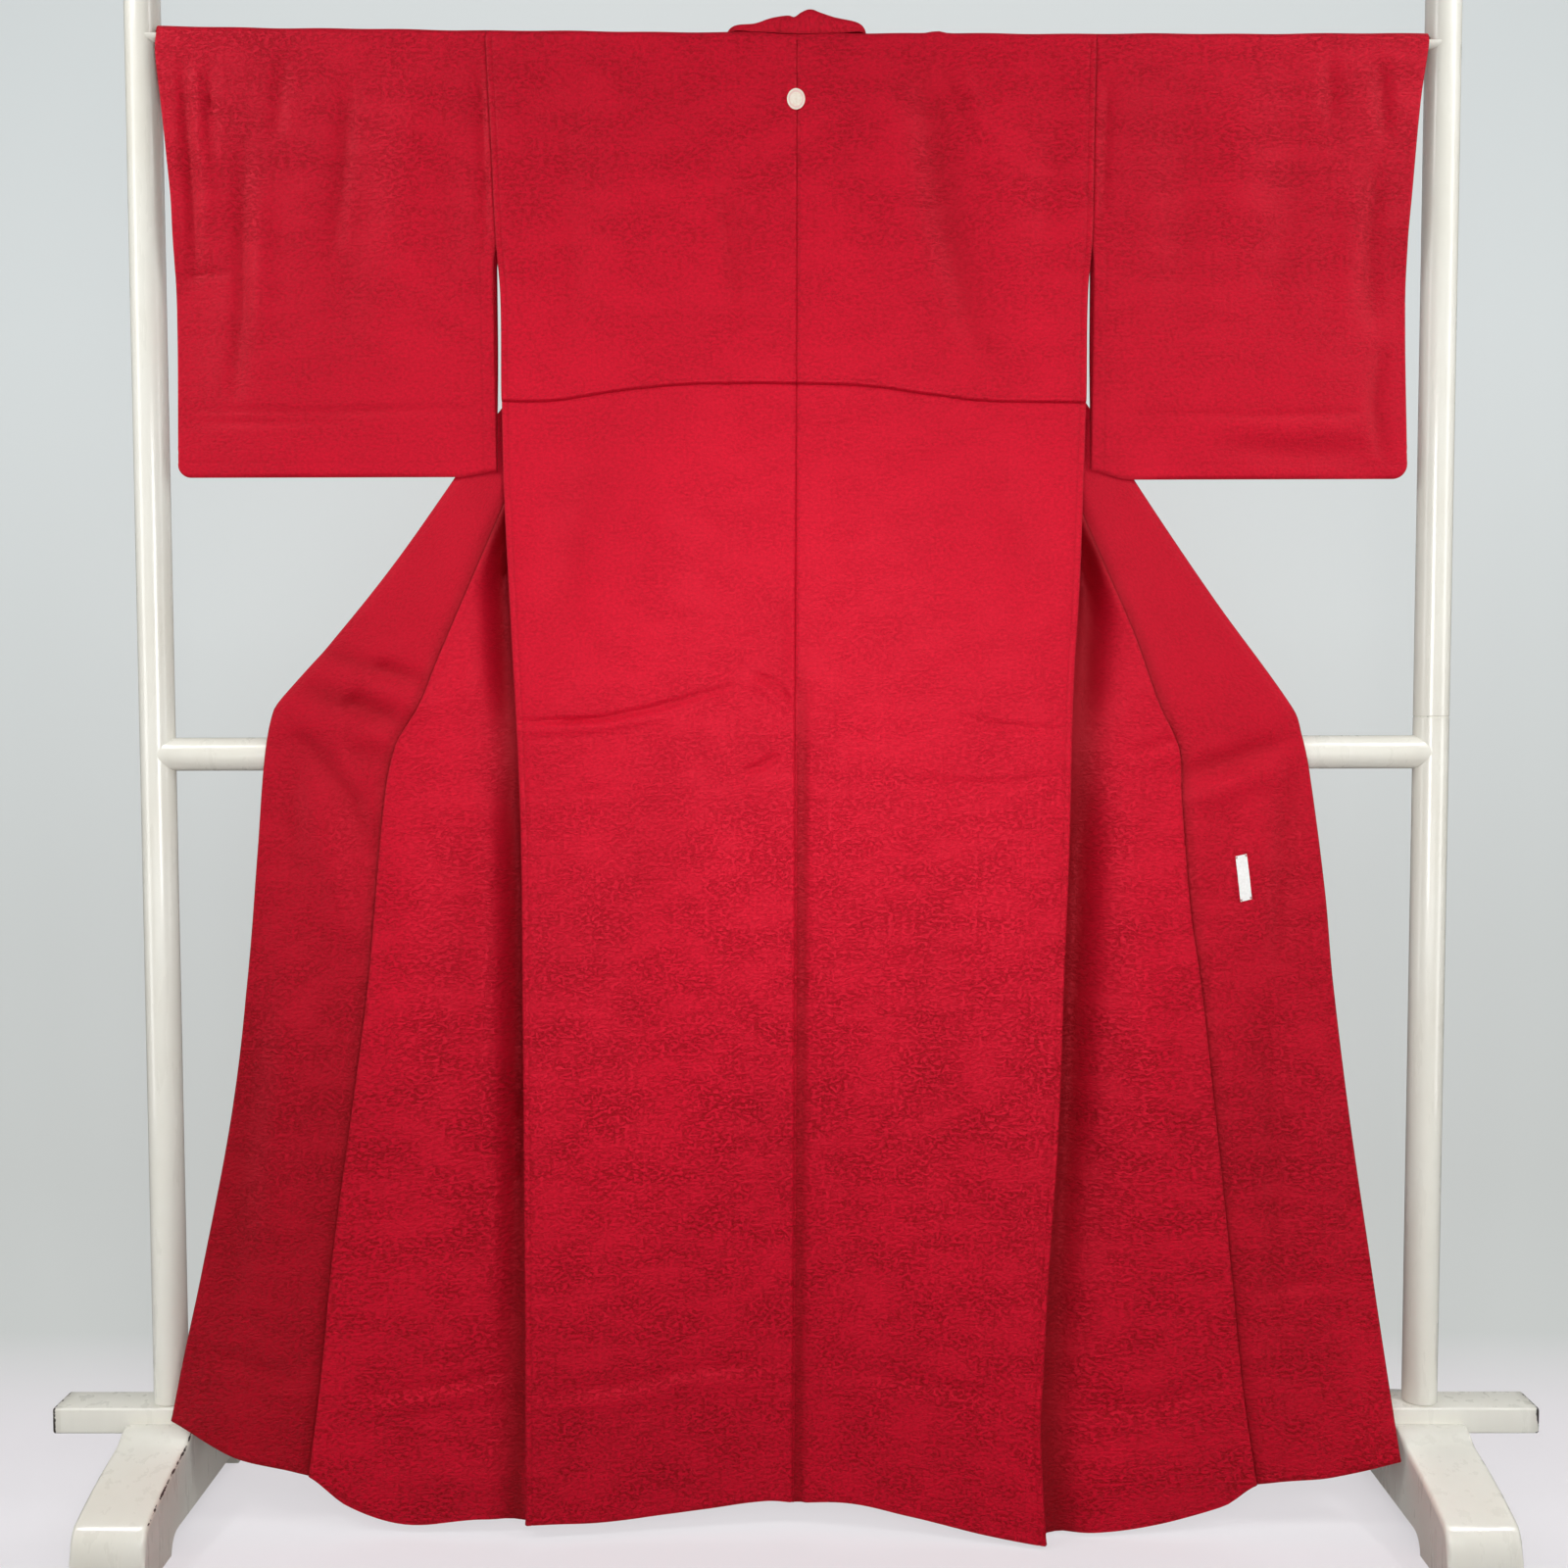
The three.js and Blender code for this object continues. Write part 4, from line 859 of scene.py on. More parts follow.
def over_rod(x, degrees):
    """Points on the cloth's turn, a half circle from 0 at the near side to 180 at the far side."""
    angle = np.radians(degrees)
    y = ROD_Y - DRAPE_RADIUS * np.cos(angle)
    return joined(x, y, drape_centre_z(x) + DRAPE_RADIUS * np.sin(angle))


def over_hem(side, x, z):
    """Height over the hem."""
    return z - read(side["hem"], "z", x)


def hem_mark(side, x, z):
    """Shade along the hem's turned edge."""
    return 0.45 * bell(over_hem(side, x, z), 1.5)


def hem_half(side, x, z):
    """Half the cloth's thickness, more at the turned hem."""
    return WALL / 2 + HEM_SWELL * bell(over_hem(side, x, z), 2.0)


def from_centre_at_shoulder(side, line):
    """Distance of a line's upper end from the centre seam."""
    return abs(read(side[line], "x", float(SHOULDER)) - CENTRE_X)


def back_x(side, u, z):
    """Straight across from the centre seam, u = 0, to the side seam, u = 1."""
    return mix(read(CENTRE_SEAM, "x", z) + side["s"] * GAP * 0.6, read(side["side_seam"], "x", z), u)


def back_y(side, u, z):
    """The back's bow: a power of u between the two seams' depths, steeper higher up."""
    bow = u ** mix(1.2, 2.0, ease(z, 0, 800))
    return mix(read(CENTRE_SEAM, "y", z), read(side["side_seam"], "y", z), bow)


def recess(side, from_centre, z):
    """Share of the flat strip beside the centre seam, on its right and below the waist, where the
    seam's turned edges pull the cloth in."""
    strip = ease(from_centre, 0.6, 2.4) * ease(from_centre, 17, 10)
    return strip * ease(z, 960, 760) * (side["s"] > 0)


def back_waves(folds, x, z):
    """The back's folds and swell, which die out at the rod."""
    return (folds + swell(x, z, 1.0)) * ease(z, SHOULDER, DRAPED_FROM)


def back_relief(side, folds, from_centre, from_side, x, z):
    """How far a back stands out over its plain form: folds, swell, the step of the waist tuck, the
    turned edges at both seams and the stitch line inside the side seam."""
    relief = back_waves(folds, x, z)
    tuck = z - read(TUCK_LINE, "z", x)
    relief += TUCK_STEP * ease(tuck, -0.6, 1.6) * ease(tuck, TUCK_EASE, 4)
    relief -= 0.8 * bell(tuck + 1.4, 1.1)
    relief -= 1.1 * ease(tuck, -75, -4) * ease(tuck, 0, -2)
    relief -= 1.6 * ease(from_centre, 2.4, 0) + 0.9 * ease(from_side, 1.8, 0)
    relief -= 0.55 * bell(from_side - STITCH_LINE, 1.0)
    return relief - 2.4 * recess(side, from_centre, z)


def back_marks(side, folds, from_centre, from_side, x, z):
    """A back's marks: painted shade under the tuck, in the recessed strip beside the centre seam and in its
    troughs, dark lines at its seams and its stitch line, and shade along its hem.
    """
    # Painted shade under the tuck's step.
    marks = 0.5 * bell(z - read(TUCK_LINE, "z", x) + 0.6, 0.9)
    marks += 0.25 * bell(from_side - STITCH_LINE, 0.9) + 0.6 * bell(from_side, 0.9)
    # The centre seam's dark line, and painted shade in the recessed strip beside it and in the troughs.
    marks += 0.6 * bell(from_centre, 0.9) + 0.65 * recess(side, from_centre, z)
    marks += 0.7 * trough_shade(folds) * ease(z, SHOULDER, DRAPED_FROM)
    return marks + hem_mark(side, x, z)


def back_grid(side, across, width, neck):
    """A back's middle points from the hem up to the shoulder and over the rod to its top, with the
    cloth's own coordinates and its marks. across is the distance from the centre seam."""
    u = across / width
    h = np.concatenate([np.arange(*levels) for levels in BACK_LEVELS])[:, None]
    x = back_x(side, u, h)
    rise = read(side["hem"], "z", x) * (1 - np.clip(h / HEM_RISE_END, 0, 1))
    slant = (read(TUCK_LINE, "z", x) - TUCK) * ease(np.abs(h - TUCK), SLANT_REACH, 6)
    z = h + rise + slant
    x = back_x(side, u, z)
    from_centre = np.broadcast_to(across, x.shape)
    from_side = np.abs(read(side["side_seam"], "x", z) - x)
    place = (side, fold_height(BACK_FOLDS, x, z), from_centre, from_side, x, z)
    low = joined(x, back_y(side, u, z) - back_relief(*place), z)
    top_x = back_x(side, u, float(SHOULDER))
    open_share = ease(np.abs(top_x - NECKLINE["middle"]) / NECKLINE["half"], 0, 1)
    limit = np.where(across <= neck, mix(NECKLINE["lowest"], NECKLINE["highest"], open_share), 90.0)
    shares = np.linspace(0, 1, 12)[1:, None]
    neck_marks = 0.7 * ease(shares, 0.86, 1.0) * (across < neck)
    v = np.concatenate([z, SHOULDER + DRAPE_RADIUS * np.radians(shares * limit)])
    uv = joined(side["s"] * across, v)
    grid = np.concatenate([low, over_rod(top_x, shares * limit)])
    return grid, uv, np.concatenate([back_marks(*place), neck_marks])


def course_points(start, turn, end, controls):
    """Points along a cubic from start to turn through two controls, then along another to end."""
    t = np.linspace(0, 1, 40)
    first = [bezier(t, *(point[k][..., None] for point in (start, *controls, turn))) for k in (0, 1)]
    t = t[1:]
    x = bezier(t, *(mix(turn[0], end[0], share)[..., None] for share in (0, 0.3, 0.7, 1)))
    y = mix(turn[1][..., None], end[1][..., None], ease(t, 0, 1))
    return np.concatenate([first[0], x], -1), np.concatenate([first[1], y], -1)


def front_course(side, z, share):
    """Points of a front panel at heights z and shares of its width: from the side seam in behind the
    back, round the fold, and out to the okumi seam or the collar line. The fold is as deep as the
    panel's width needs, found by halving."""
    s = side["s"]
    seam_x, back_y_there = read_xy(side["side_seam"], z)
    lean = back_y_there - read(LEFT["side_seam"], "y", z)
    end = read_xy(side["okumi_seam"], z)
    near = read(FOLD_LAYERS, "near", z) + NEAR_LEAN * lean
    seam_y = mix(near, back_y_there + SEAM_STEP, ease(z, SLEEVE_SEAM_END, SIDE_SEAM_TOP))
    wing = s * (end[0] - seam_x) > 1
    turn_x = np.where(wing, seam_x, end[0])
    far = np.where(wing, read(FOLD_LAYERS, "far", z) + FAR_LEAN * lean, end[1])
    shallow = np.zeros_like(z)
    deep = np.full_like(z, 2.0 * FRONT_WIDTH)
    for _ in range(14):
        middle = (shallow + deep) / 2
        controls = [[seam_x - s * middle, near], [seam_x - s * middle, far]]
        x, y = course_points([seam_x, seam_y], [turn_x, far], end, controls)
        steps = np.hypot(np.diff(x), np.diff(y))
        short = steps.sum(-1) < FRONT_WIDTH
        shallow = np.where(short, middle, shallow)
        deep = np.where(short, deep, middle)
    gone = np.concatenate([np.zeros((*z.shape, 1)), np.cumsum(steps, -1)], -1)
    wanted = (share * gone[..., -1])[..., None]
    i = np.clip((gone < wanted).sum(-1) - 1, 0, steps.shape[-1] - 1)[..., None]
    at = np.take_along_axis
    t = (wanted - at(gone, i, -1)) / np.maximum(at(steps, i, -1), 1e-6)
    x, y = (mix(at(c, i, -1), at(c, i + 1, -1), t)[..., 0] for c in (x, y))
    return x, y, seam_x


def fanned(side, h, hem_x):
    """A height lifted by the fan of the hem, which dies out upwards."""
    return h + read(side["hem"], "z", hem_x) * (1 - np.clip(h / FRONT_LIFT_END, 0, 1))


def valley(z):
    """Depth of the shaded valley beside each side seam; the rail behind it leaves it less room."""
    depth = mix(9, 20, ease(z, 60, 420)) * ease(z, 1230, 1130)
    return depth * (1 - 0.78 * bell(z - RAIL_Z, 60))


def lapped(z):
    """Share by which a front's edge stands out over the overlap panel tucked in under it."""
    return ease(z, 1200, 1150) * ease(z, 800, 850)


def gathered(share, fold):
    """The shares drawn together round the fold by a bell-shaped shift, so that its tight turn has
    close grid lines. Those near both edges stay."""
    away = share - fold
    inner = ease(share, 0.05, 0.14) * ease(share, 0.95, 0.86)
    return share - 0.78 * away * bell(away, 0.06) * inner


def wing_swell(side, x, z):
    """The swell of a wing, the same in the front panel and in the overlap panel."""
    return swell(x, z, 2.0 + side["s"])


def front_grid(side, across, width, neck):
    """A front's middle points from the rod down to the hem, its uv and its marks."""
    share = (width - across) / (width - neck)
    level = np.concatenate([np.arange(SHOULDER - 3, 400, -6.3), np.arange(400, -0.1, -5.7)])
    level[-1] = 0
    hem_from = read(side["side_seam"], "x", 0.0)
    hem_to = side["okumi_seam"]["x"][0]
    out = np.clip(share * 1.35 - 0.35, 0, 1)
    z = np.minimum(fanned(side, level[:, None], mix(hem_from, hem_to, out)), SHOULDER)
    seam_x = read(side["side_seam"], "x", z)
    fold = (FRONT_WIDTH - side["s"] * (read(side["okumi_seam"], "x", z) - seam_x)) / 2
    fold = np.clip(fold, *FOLD_INSIDE)
    share = gathered(share, fold / FRONT_WIDTH)
    x, y, seam_x = front_course(side, z, share)
    beyond = side["s"] * (x - seam_x)
    past_fold = share * FRONT_WIDTH - fold
    shown = ease(beyond, -14, 6) * ease(past_fold, 0, 12)
    end_gap = (1 - share) * FRONT_WIDTH
    below_neck = ease(z, 1400, 1340)
    folds = fold_height(WING_FOLDS[side["name"]], x, z)
    relief = (folds + wing_swell(side, x, z)) * shown
    relief += fold_height(INNER_FOLDS, x, z) * (1 - shown) * ease(z, SHOULDER, 1480) * 0.8
    deepest, reach = VALLEY[side["name"]]
    shade = bell(beyond - deepest, reach)
    relief -= valley(z) * shade * ease(past_fold, 2, 42) * ease(end_gap, 2, 30)
    relief += 3.0 * lapped(z) * bell(end_gap, 9)
    relief -= 1.1 * ease(end_gap, 2.0, 0) * below_neck
    marks = 0.45 * bell(end_gap, 0.9) * below_neck + hem_mark(side, x, z)
    # Painted shade in the valley beside the side seam and in the wing's troughs.
    marks += 0.92 * shade * ease(past_fold, 0, 12) * ease(z, 1330, 1290)
    marks += 0.6 * trough_shade(folds) * shown
    uv = joined(side["s"] * (width - share * (width - neck)), 2 * SHOULDER + 30 - z)
    return joined(x, y - relief, z), uv, marks


def body(side):
    """A body panel: one length of cloth from the back's hem over the rod to the front's hem, cut out
    at the neck."""
    width = from_centre_at_shoulder(side, "side_seam")
    neck = from_centre_at_shoulder(side, "okumi_seam")
    to_neck = np.linspace(12, neck - 12, 11)[1:-1]
    past_neck = np.linspace(neck + 12, width - 12, 28)[1:-1]
    near_neck = [neck - EDGE_STEPS[::-1], neck + EDGE_STEPS[1:]]
    across = np.concatenate([EDGE_STEPS, to_neck, *near_neck, past_neck, width - EDGE_STEPS[::-1]])
    at_neck = int(np.argmin(np.abs(across - neck)))
    back, back_uv, back_shade = back_grid(side, across, width, neck)
    front, front_uv, front_shade = front_grid(side, np.maximum(across, neck), width, neck)
    degrees = np.linspace(90, 180, 10)[1:, None]
    over = over_rod(mix(back[-1, :, 0], front[0, :, 0], ease(degrees, 90, 180)), degrees)
    over_uv = joined(side["s"] * across, SHOULDER + DRAPE_RADIUS * np.radians(degrees))
    grid = np.concatenate([back, over, front])
    uv = np.concatenate([back_uv, over_uv, front_uv])
    marks = np.concatenate([back_shade, np.zeros(over.shape[:2]), front_shade])
    kept = np.ones((len(grid) - 1, len(across) - 1), bool)
    kept[len(back) - 1 :, :at_neck] = False
    grid[len(back) :, :at_neck] = grid[len(back) :, at_neck : at_neck + 1]
    half = hem_half(side, grid[..., 0], grid[..., 2])
    piece = cloth("body_" + side["name"], grid, uv, RED_SILK, half=half, seam=marks, kept=kept)
    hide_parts("back_" + side["name"], "front_" + side["name"])


def okumi(side):
    """An overlap panel: straight across from its seam to the front edge, its first few millimetres
    tucked in under the front panel."""
    s = side["s"]
    ends = np.linspace(0, 0.1, 9)
    u = np.concatenate([ends[:-1], np.linspace(0.1, 0.9, 34), (0.9 + ends)[1:]])
    u = np.concatenate([np.zeros(3), u])
    under = np.zeros(len(u))
    under[:3] = (-1, -0.6, -0.25)
    h = np.linspace(0, OKUMI_TOP, 226)[:, None]
    z = fanned(side, h, mix(side["okumi_seam"]["x"][0], side["front_edge"]["x"][0], u))
    seam_x, seam_y = read_xy(side["okumi_seam"], z)
    edge_x, edge_y = read_xy(side["front_edge"], z)
    seam_x = seam_x + s * 2 * GAP
    room = ease(z, 1300, 1180)
    below_collar = ease(z, 1180, 1100)
    x = mix(seam_x, edge_x, u) + s * OKUMI_LAP * under * room
    from_seam = s * (x - seam_x)
    from_edge = s * (edge_x - x)
    open_width = np.clip(np.abs(edge_x - seam_x) / 60, 0, 1)
    folds = fold_height(WING_FOLDS[side["name"]], x, z)
    relief = (folds + wing_swell(side, x, z)) * open_width
    relief *= 1 - ease(z, 900, 990) * 0.7
    over_collar = ease(from_edge, 80, 58) * ease(z, 820, 850)
    relief = relief * (1 - 0.75 * over_collar) + 1.5 * over_collar * ease(from_edge, 0, 12)
    relief -= 2.3 * ease(from_seam, 0.8, -1.5) * room
    relief += 2.6 * lapped(z) * ease(from_seam, 0, -3)
    relief -= 2.2 * bell(from_seam, 8) * below_collar
    relief -= 1.0 * ease(from_edge, 1.6, 0) * open_width
    # Painted shade over the whole okumi, more on its lower part, in its troughs and in a strip beside its
    # seam below the collar.
    marks = mix(0.15, LOW_SHADE[side["name"]], ease(z, 850, 300)) + trough_shade(folds)
    marks += 0.95 * bell(from_seam, 1.9) + 0.3 * bell(from_seam - 4, 6) * below_collar
    marks += 0.35 * bell(from_edge, 0.8) + hem_mark(side, x, z)
    grid = joined(x, mix(seam_y, edge_y, u) - relief, z)
    uv = joined(s * (CLOTH_FROM["okumi"] + OKUMI_WIDTH * u), z + 37)
    piece = cloth("overlap_" + side["name"], grid, uv, RED_SILK, half=hem_half(side, x, z), seam=marks)
    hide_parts("okumi_" + side["name"])


# The sleeves' two layers: half their distance where they are sewn, and the height over the foot at
# which they part.
CLOSED_HALF = 1.2
LAYERS_MEET = 140
# How far a foot hangs towards the viewer, and where and over which share of its width a sleeve
# follows the body.
FOOT_LEAN = -4
LEAN_FROM = 1240
LEAN_END = 0.4
# The share of the width and the range of height in which the cuff's seam draws the layers together.
CUFF_FROM = 0.72
CUFF_EASE = 45
# Distances of the sleeve's grid lines from its outer edge, close together at the rounded corner.
CUFF_STEPS = np.array([20, 16.5, 14, 12.3, 10.4, 8.5, 6.8, 5.2, 3.8, 2.6, 1.7, 0.9, 0.3, 0])
# Distances of a sleeve's fine pressed lines from its inner edge and from its foot.
PRESSED = {"inner": 14, "foot": 15}


def sleeve(shape):
    """A sleeve: one tube of cloth. Each ring goes from the foot up the near layer, over the rod in a
    half circle and down the far layer. The layers close at the foot and under the cuff."""
    side, outer, corner = shape["side"], shape["outer"], shape["corner"]
    s, bottom = side["s"], shape["bottom"]
    width = abs(outer["x"][0] - shape["inner_x"])
    inside = np.concatenate([EDGE_STEPS, [13.6, 14.8, 16, 18], np.linspace(21, width - 24, 46)])
    u = (np.concatenate([inside, width - CUFF_STEPS]) / width)[:, None]
    nominal = mix(shape["inner_x"], outer["x"][0], u)
    into_corner = np.clip(1 - (1 - u) * width / corner, 0, 1)
    foot = mix(shape["inner_corner"], bottom, ease(u, 0, 0.12))
    foot = foot + corner * (1 - np.sqrt(1 - into_corner**2))
    top = drape_centre_z(nominal)
    shares = np.concatenate([np.linspace(0, 0.06, 16)[1:], np.linspace(0.06, 0.992, 112)[1:]])
    near_z = mix(foot, top, shares) + 0.6

    def x_at(z):
        """Across the sleeve by u, between the body's side and the cuff."""
        beside = read(side["side_seam"], "x", z) + s * 1.5 * GAP
        inner = mix(shape["inner_x"], beside, ease(z, SLEEVE_SEAM_END - 25, SLEEVE_SEAM_END))
        return mix(inner, read(outer, "x", z), u)

    opened = ease(near_z, bottom, bottom + LAYERS_MEET)
    sewn = ease(u, CUFF_FROM, 1) * ease(near_z, CUFF_END + CUFF_EASE, CUFF_END - CUFF_EASE)
    half = mix(mix(CLOSED_HALF, DRAPE_RADIUS, opened), CLOSED_HALF, sewn)
    tight = 1 - (half - CLOSED_HALF) / (DRAPE_RADIUS - CLOSED_HALF)
    beside = SHOULDER_Y - read(side["side_seam"], "y", near_z)
    lean = beside * ease(u, LEAN_END, 0) * ease(near_z, LEAN_FROM, SLEEVE_SEAM_END)
    centre = ROD_Y + FOOT_LEAN * (1 - opened)
    x = x_at(near_z)
    fade = ease(near_z, top, top - 45)
    folds = fold_height(SLEEVE_FOLDS[side["name"]], x, near_z)
    relief = (folds + swell(x, near_z, 5.0 + s)) * fade
    from_inner = u * width
    from_outer = (1 - u) * width
    from_foot = near_z - foot
    free = ease(near_z, SLEEVE_SEAM_END, SLEEVE_SEAM_END - 20)
    inner_line = from_inner - PRESSED["inner"]
    foot_line = from_foot - PRESSED["foot"]
    line = 0.3 * bell(inner_line, 1.4) * free + 0.22 * bell(foot_line, 1.8)
    line = line - 0.3 * bell(from_inner - 8, 5) * free
    curl = 0.9 * ease(from_inner, 1.6, 0) + 0.8 * ease(from_outer, 1.4, 0)
    near_y = centre - half - lean - relief + line + curl
    other = swell(x + 60, near_z, 9.0 + s) - 0.7 * relief
    far_y = centre + half - relief * tight + other * (1 - tight) * fade
    marks = 0.2 * bell(inner_line, 0.9) * free + 0.85 * bell(from_inner, 1.2)
    marks += 0.12 * bell(foot_line, 1.2) + 0.45 * bell(from_foot, 1.6) + 0.3 * bell(from_outer, 0.8)
    # Painted shade in the sleeve's troughs.
    marks += trough_shade(folds) * fade
    degrees = np.linspace(0, 180, 17)
    tip = joined(x_at(foot), centre[:, :1], foot)
    near = joined(x, near_y, near_z)
    turn = over_rod(x_at(top), degrees)
    far = joined(x, far_y, near_z)[:, ::-1]
    grid = np.concatenate([tip, near, turn, far], 1)
    seam = np.concatenate([np.full_like(foot, 0.5), marks, np.zeros(turn.shape[:2]), marks[:, ::-1]], 1)
    uv = joined(s * (CLOTH_FROM["sleeve"] + u * width), length_to(grid) + foot)
    piece = cloth("sleeve_tube_" + side["name"], grid, uv, RED_SILK, seam=seam, ring=True)
    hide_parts("sleeve_" + side["name"])


def collar():
    """The collar: a band from front edge to front edge round the neck, arched between its sewn and
    its free edge, and standing in a soft uneven crest over the nape."""
    along = np.linspace(0, COLLAR["along"][-1], 461)[:, None]
    across = np.linspace(0, 1, 25)
    arc = np.sin(np.pi * across)
    swing = (1 - np.cos(np.pi * across)) / 2
    edges = ("seam_", "free_")
    seam_edge, free_edge = (joined(*(read(COLLAR, edge + k, along) for k in "xyz")) for edge in edges)
    grid = mix(seam_edge, free_edge, swing[None, :, None])
    middle = mix(seam_edge, free_edge, 0.5)
    nape = ease(along, 9.2, 10) * ease(along, 14.8, 14)
    crest_arch = read(COLLAR_TOP, "z", middle[..., 0]) - COLLAR_WALL / 2 - middle[..., 2]
    grid[..., 2] += mix(read(COLLAR, "arch", along), crest_arch, nape) * arc
    ripple = 0.8 * np.sin(along * 2.1 + 3 * across) * arc + 0.5 * np.sin(along * 5.3 + 1)
    grid[..., 1] += ripple * arc * (1 - nape)
    half = COLLAR_WALL / 2 - WALL / 2 * np.abs(2 * swing - 1) ** 6
    length = length_to(grid[:, 12])
    uv = joined(CLOTH_FROM["collar"] + COLLAR_WIDTH * across, length[:, None])
    marks = 0.6 * bell(across * COLLAR_WIDTH, 1.2) + 0.3 * bell((across - 1) * COLLAR_WIDTH, 0.8)
    piece = cloth("collar_band", grid, uv, RED_SILK, half=half, seam=marks)
    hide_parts("collar")


# ------------------------------------------------------------------ crest, label and stitches


def crest():
    """The crest place: a square grid pressed into an oval, laid on the backs."""
    a, b = np.meshgrid(np.linspace(-1, 1, 25), np.linspace(-1, 1, 25))
    across = CREST["half_width"] * a * np.sqrt(1 - b * b / 2)
    up = CREST["half_height"] * b * np.sqrt(1 - a * a / 2)
    x = CREST["x"] + across
    z = CREST["z"] + up
    from_seam = x - read(CENTRE_SEAM, "x", z)
    u = np.abs(from_seam) / from_centre_at_shoulder(LEFT, "side_seam")
    relief = back_waves(fold_height(BACK_FOLDS, x, z), x, z)
    y = back_y(RIGHT, u, z) - relief - WALL / 2 - CREST_LIFT + 0.25 * bell(from_seam, 0.8)
    uv = joined(across, up * CREST["half_width"] / CREST["half_height"])
    piece = cloth("crest_disc", joined(x, y, z), uv, CREST_IVORY, half=0.22)
    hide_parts("crest")


def wing_y(side, x, z):
    """Depth of an okumi's face at a place on it."""
    seam_x, seam_y = read_xy(side["okumi_seam"], z)
    edge_x, edge_y = read_xy(side["front_edge"], z)
    y = mix(seam_y, edge_y, (x - seam_x) / (edge_x - seam_x))
    return y - fold_height(WING_FOLDS[side["name"]], x, z) - wing_swell(side, x, z)


def label():
    """The sewn label: a blank woven tape that lies on the right okumi and lifts a little between its
    sewn corners."""
    end, across = np.meshgrid(np.linspace(0, 1, 31), np.linspace(0, 1, 13), indexing="ij")
    x, z = (mix(read(LABEL, "inner_" + k, end), read(LABEL, "outer_" + k, end), across) for k in "xz")
    lift = 0.5 * np.sin(np.pi * end) + 0.3 * np.sin(np.pi * across) * np.sin(2.6 * end + 0.4)
    grid = joined(x, wing_y(RIGHT, x, z) - WALL / 2 - LABEL_LIFT - lift, z)
    uv = joined(LABEL_SIZE[0] * across, LABEL_SIZE[1] * end)
    piece = cloth("label_tape", grid, uv, LABEL_CLOTH, half=0.2)
    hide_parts("label")
    return grid


def stitches(name, centres, directions, length=2.4, thick=0.35):
    """Short stitches: a four-sided bead of thread at each centre, pointed along its direction."""
    count = len(centres)
    directions = unit(directions)
    up = unit(np.cross(directions, [0.0, 1.0, 0.0]))
    out = np.cross(directions, up)
    corners = [up, out, -up, -out]
    rings = []
    for end, size in BEAD:
        middle = centres + directions * end * length
        rings.append(np.stack([middle + corner * thick * size for corner in corners], 1))
    one = np.concatenate([grid_faces(4, 4, ring=True).reshape(-1, 4), [[0, 1, 2, 3], [15, 14, 13, 12]]])
    faces = (one[None] + 16 * np.arange(count)[:, None, None]).reshape(-1, 4)
    points = np.stack(rings, 1).reshape(-1, 3)
    mesh_piece(name, points, faces, RED_THREAD, "red_silk", seam=np.zeros(16 * count))


def along_line(points, spacing):
    """Places at an even spacing along a line of points, with the line's direction at each."""
    gone = length_to(points)
    at = np.arange(spacing / 2, gone[-1], spacing)
    here, next_to = (joined(*(np.interp(a, gone, line) for line in points.T)) for a in (at, at + 0.5))
    return here, next_to - here


def back_face(x, z):
    """Depth of the backs' outer face at places on them."""
    centre = read(CENTRE_SEAM, "x", z)
    folds = fold_height(BACK_FOLDS, x, z)
    y = np.zeros(x.shape)
    for side in (LEFT, RIGHT):
        seam = read(side["side_seam"], "x", z)
        u = np.clip((x - centre) / (seam - centre), 0, 1)
        relief = back_relief(side, folds, np.abs(x - centre), np.abs(seam - x), x, z)
        mine = side["s"] * (x - centre) >= 0
        y = np.where(mine, back_y(side, u, z) - relief - WALL / 2, y)
    return y


def back_stitches():
    """Running stitches beside the centre seam and along the waist tuck, and a line of longer tacking
    left of the centre seam. Each line is its x, its z and the stitches' spacing."""
    z = np.arange(30, 1535, 4.0)
    x = np.linspace(-294, 294, 200)
    low = np.arange(560, 846, 4.0)
    lines = [
        (read(CENTRE_SEAM, "x", z) + 3.2, z, 6.5),
        (x, read(TUCK_LINE, "z", x) + 4.2, 7.5),
        (-17.5 + 1.2 * np.sin(low / 31), low, 12.0),
    ]
    found = [along_line(joined(x, back_face(x, z), z), spacing) for x, z, spacing in lines]
    stitches("stitches_back", *(np.concatenate(parts) for parts in zip(*found)))


def label_stitches(grid):
    """Two crossed stitches at each of the label's corners."""
    corners = np.array([grid[i, j] for i in (1, -2) for j in (1, -2)])
    centres = np.repeat(corners, 2, 0) - [0, 0.35, 0]
    directions = np.tile([[1.0, 0, 1.0], [-1.0, 0, 1.0]], (4, 1))
    stitches("stitches_label", centres, directions, length=3.0, thick=0.3)


# ------------------------------------------------------------------ the stand


def circle(bar):
    """The cosines and sines of a round bar's sides."""
    angles = np.linspace(0, 2 * np.pi, SIDES[bar], endpoint=False)
    return np.cos(angles), np.sin(angles)


def coped(y):
    """How far a bar between the posts reaches at depth y, up to the round post."""
    return POST_X - np.sqrt((POST_RADIUS + GAP) ** 2 - y**2)


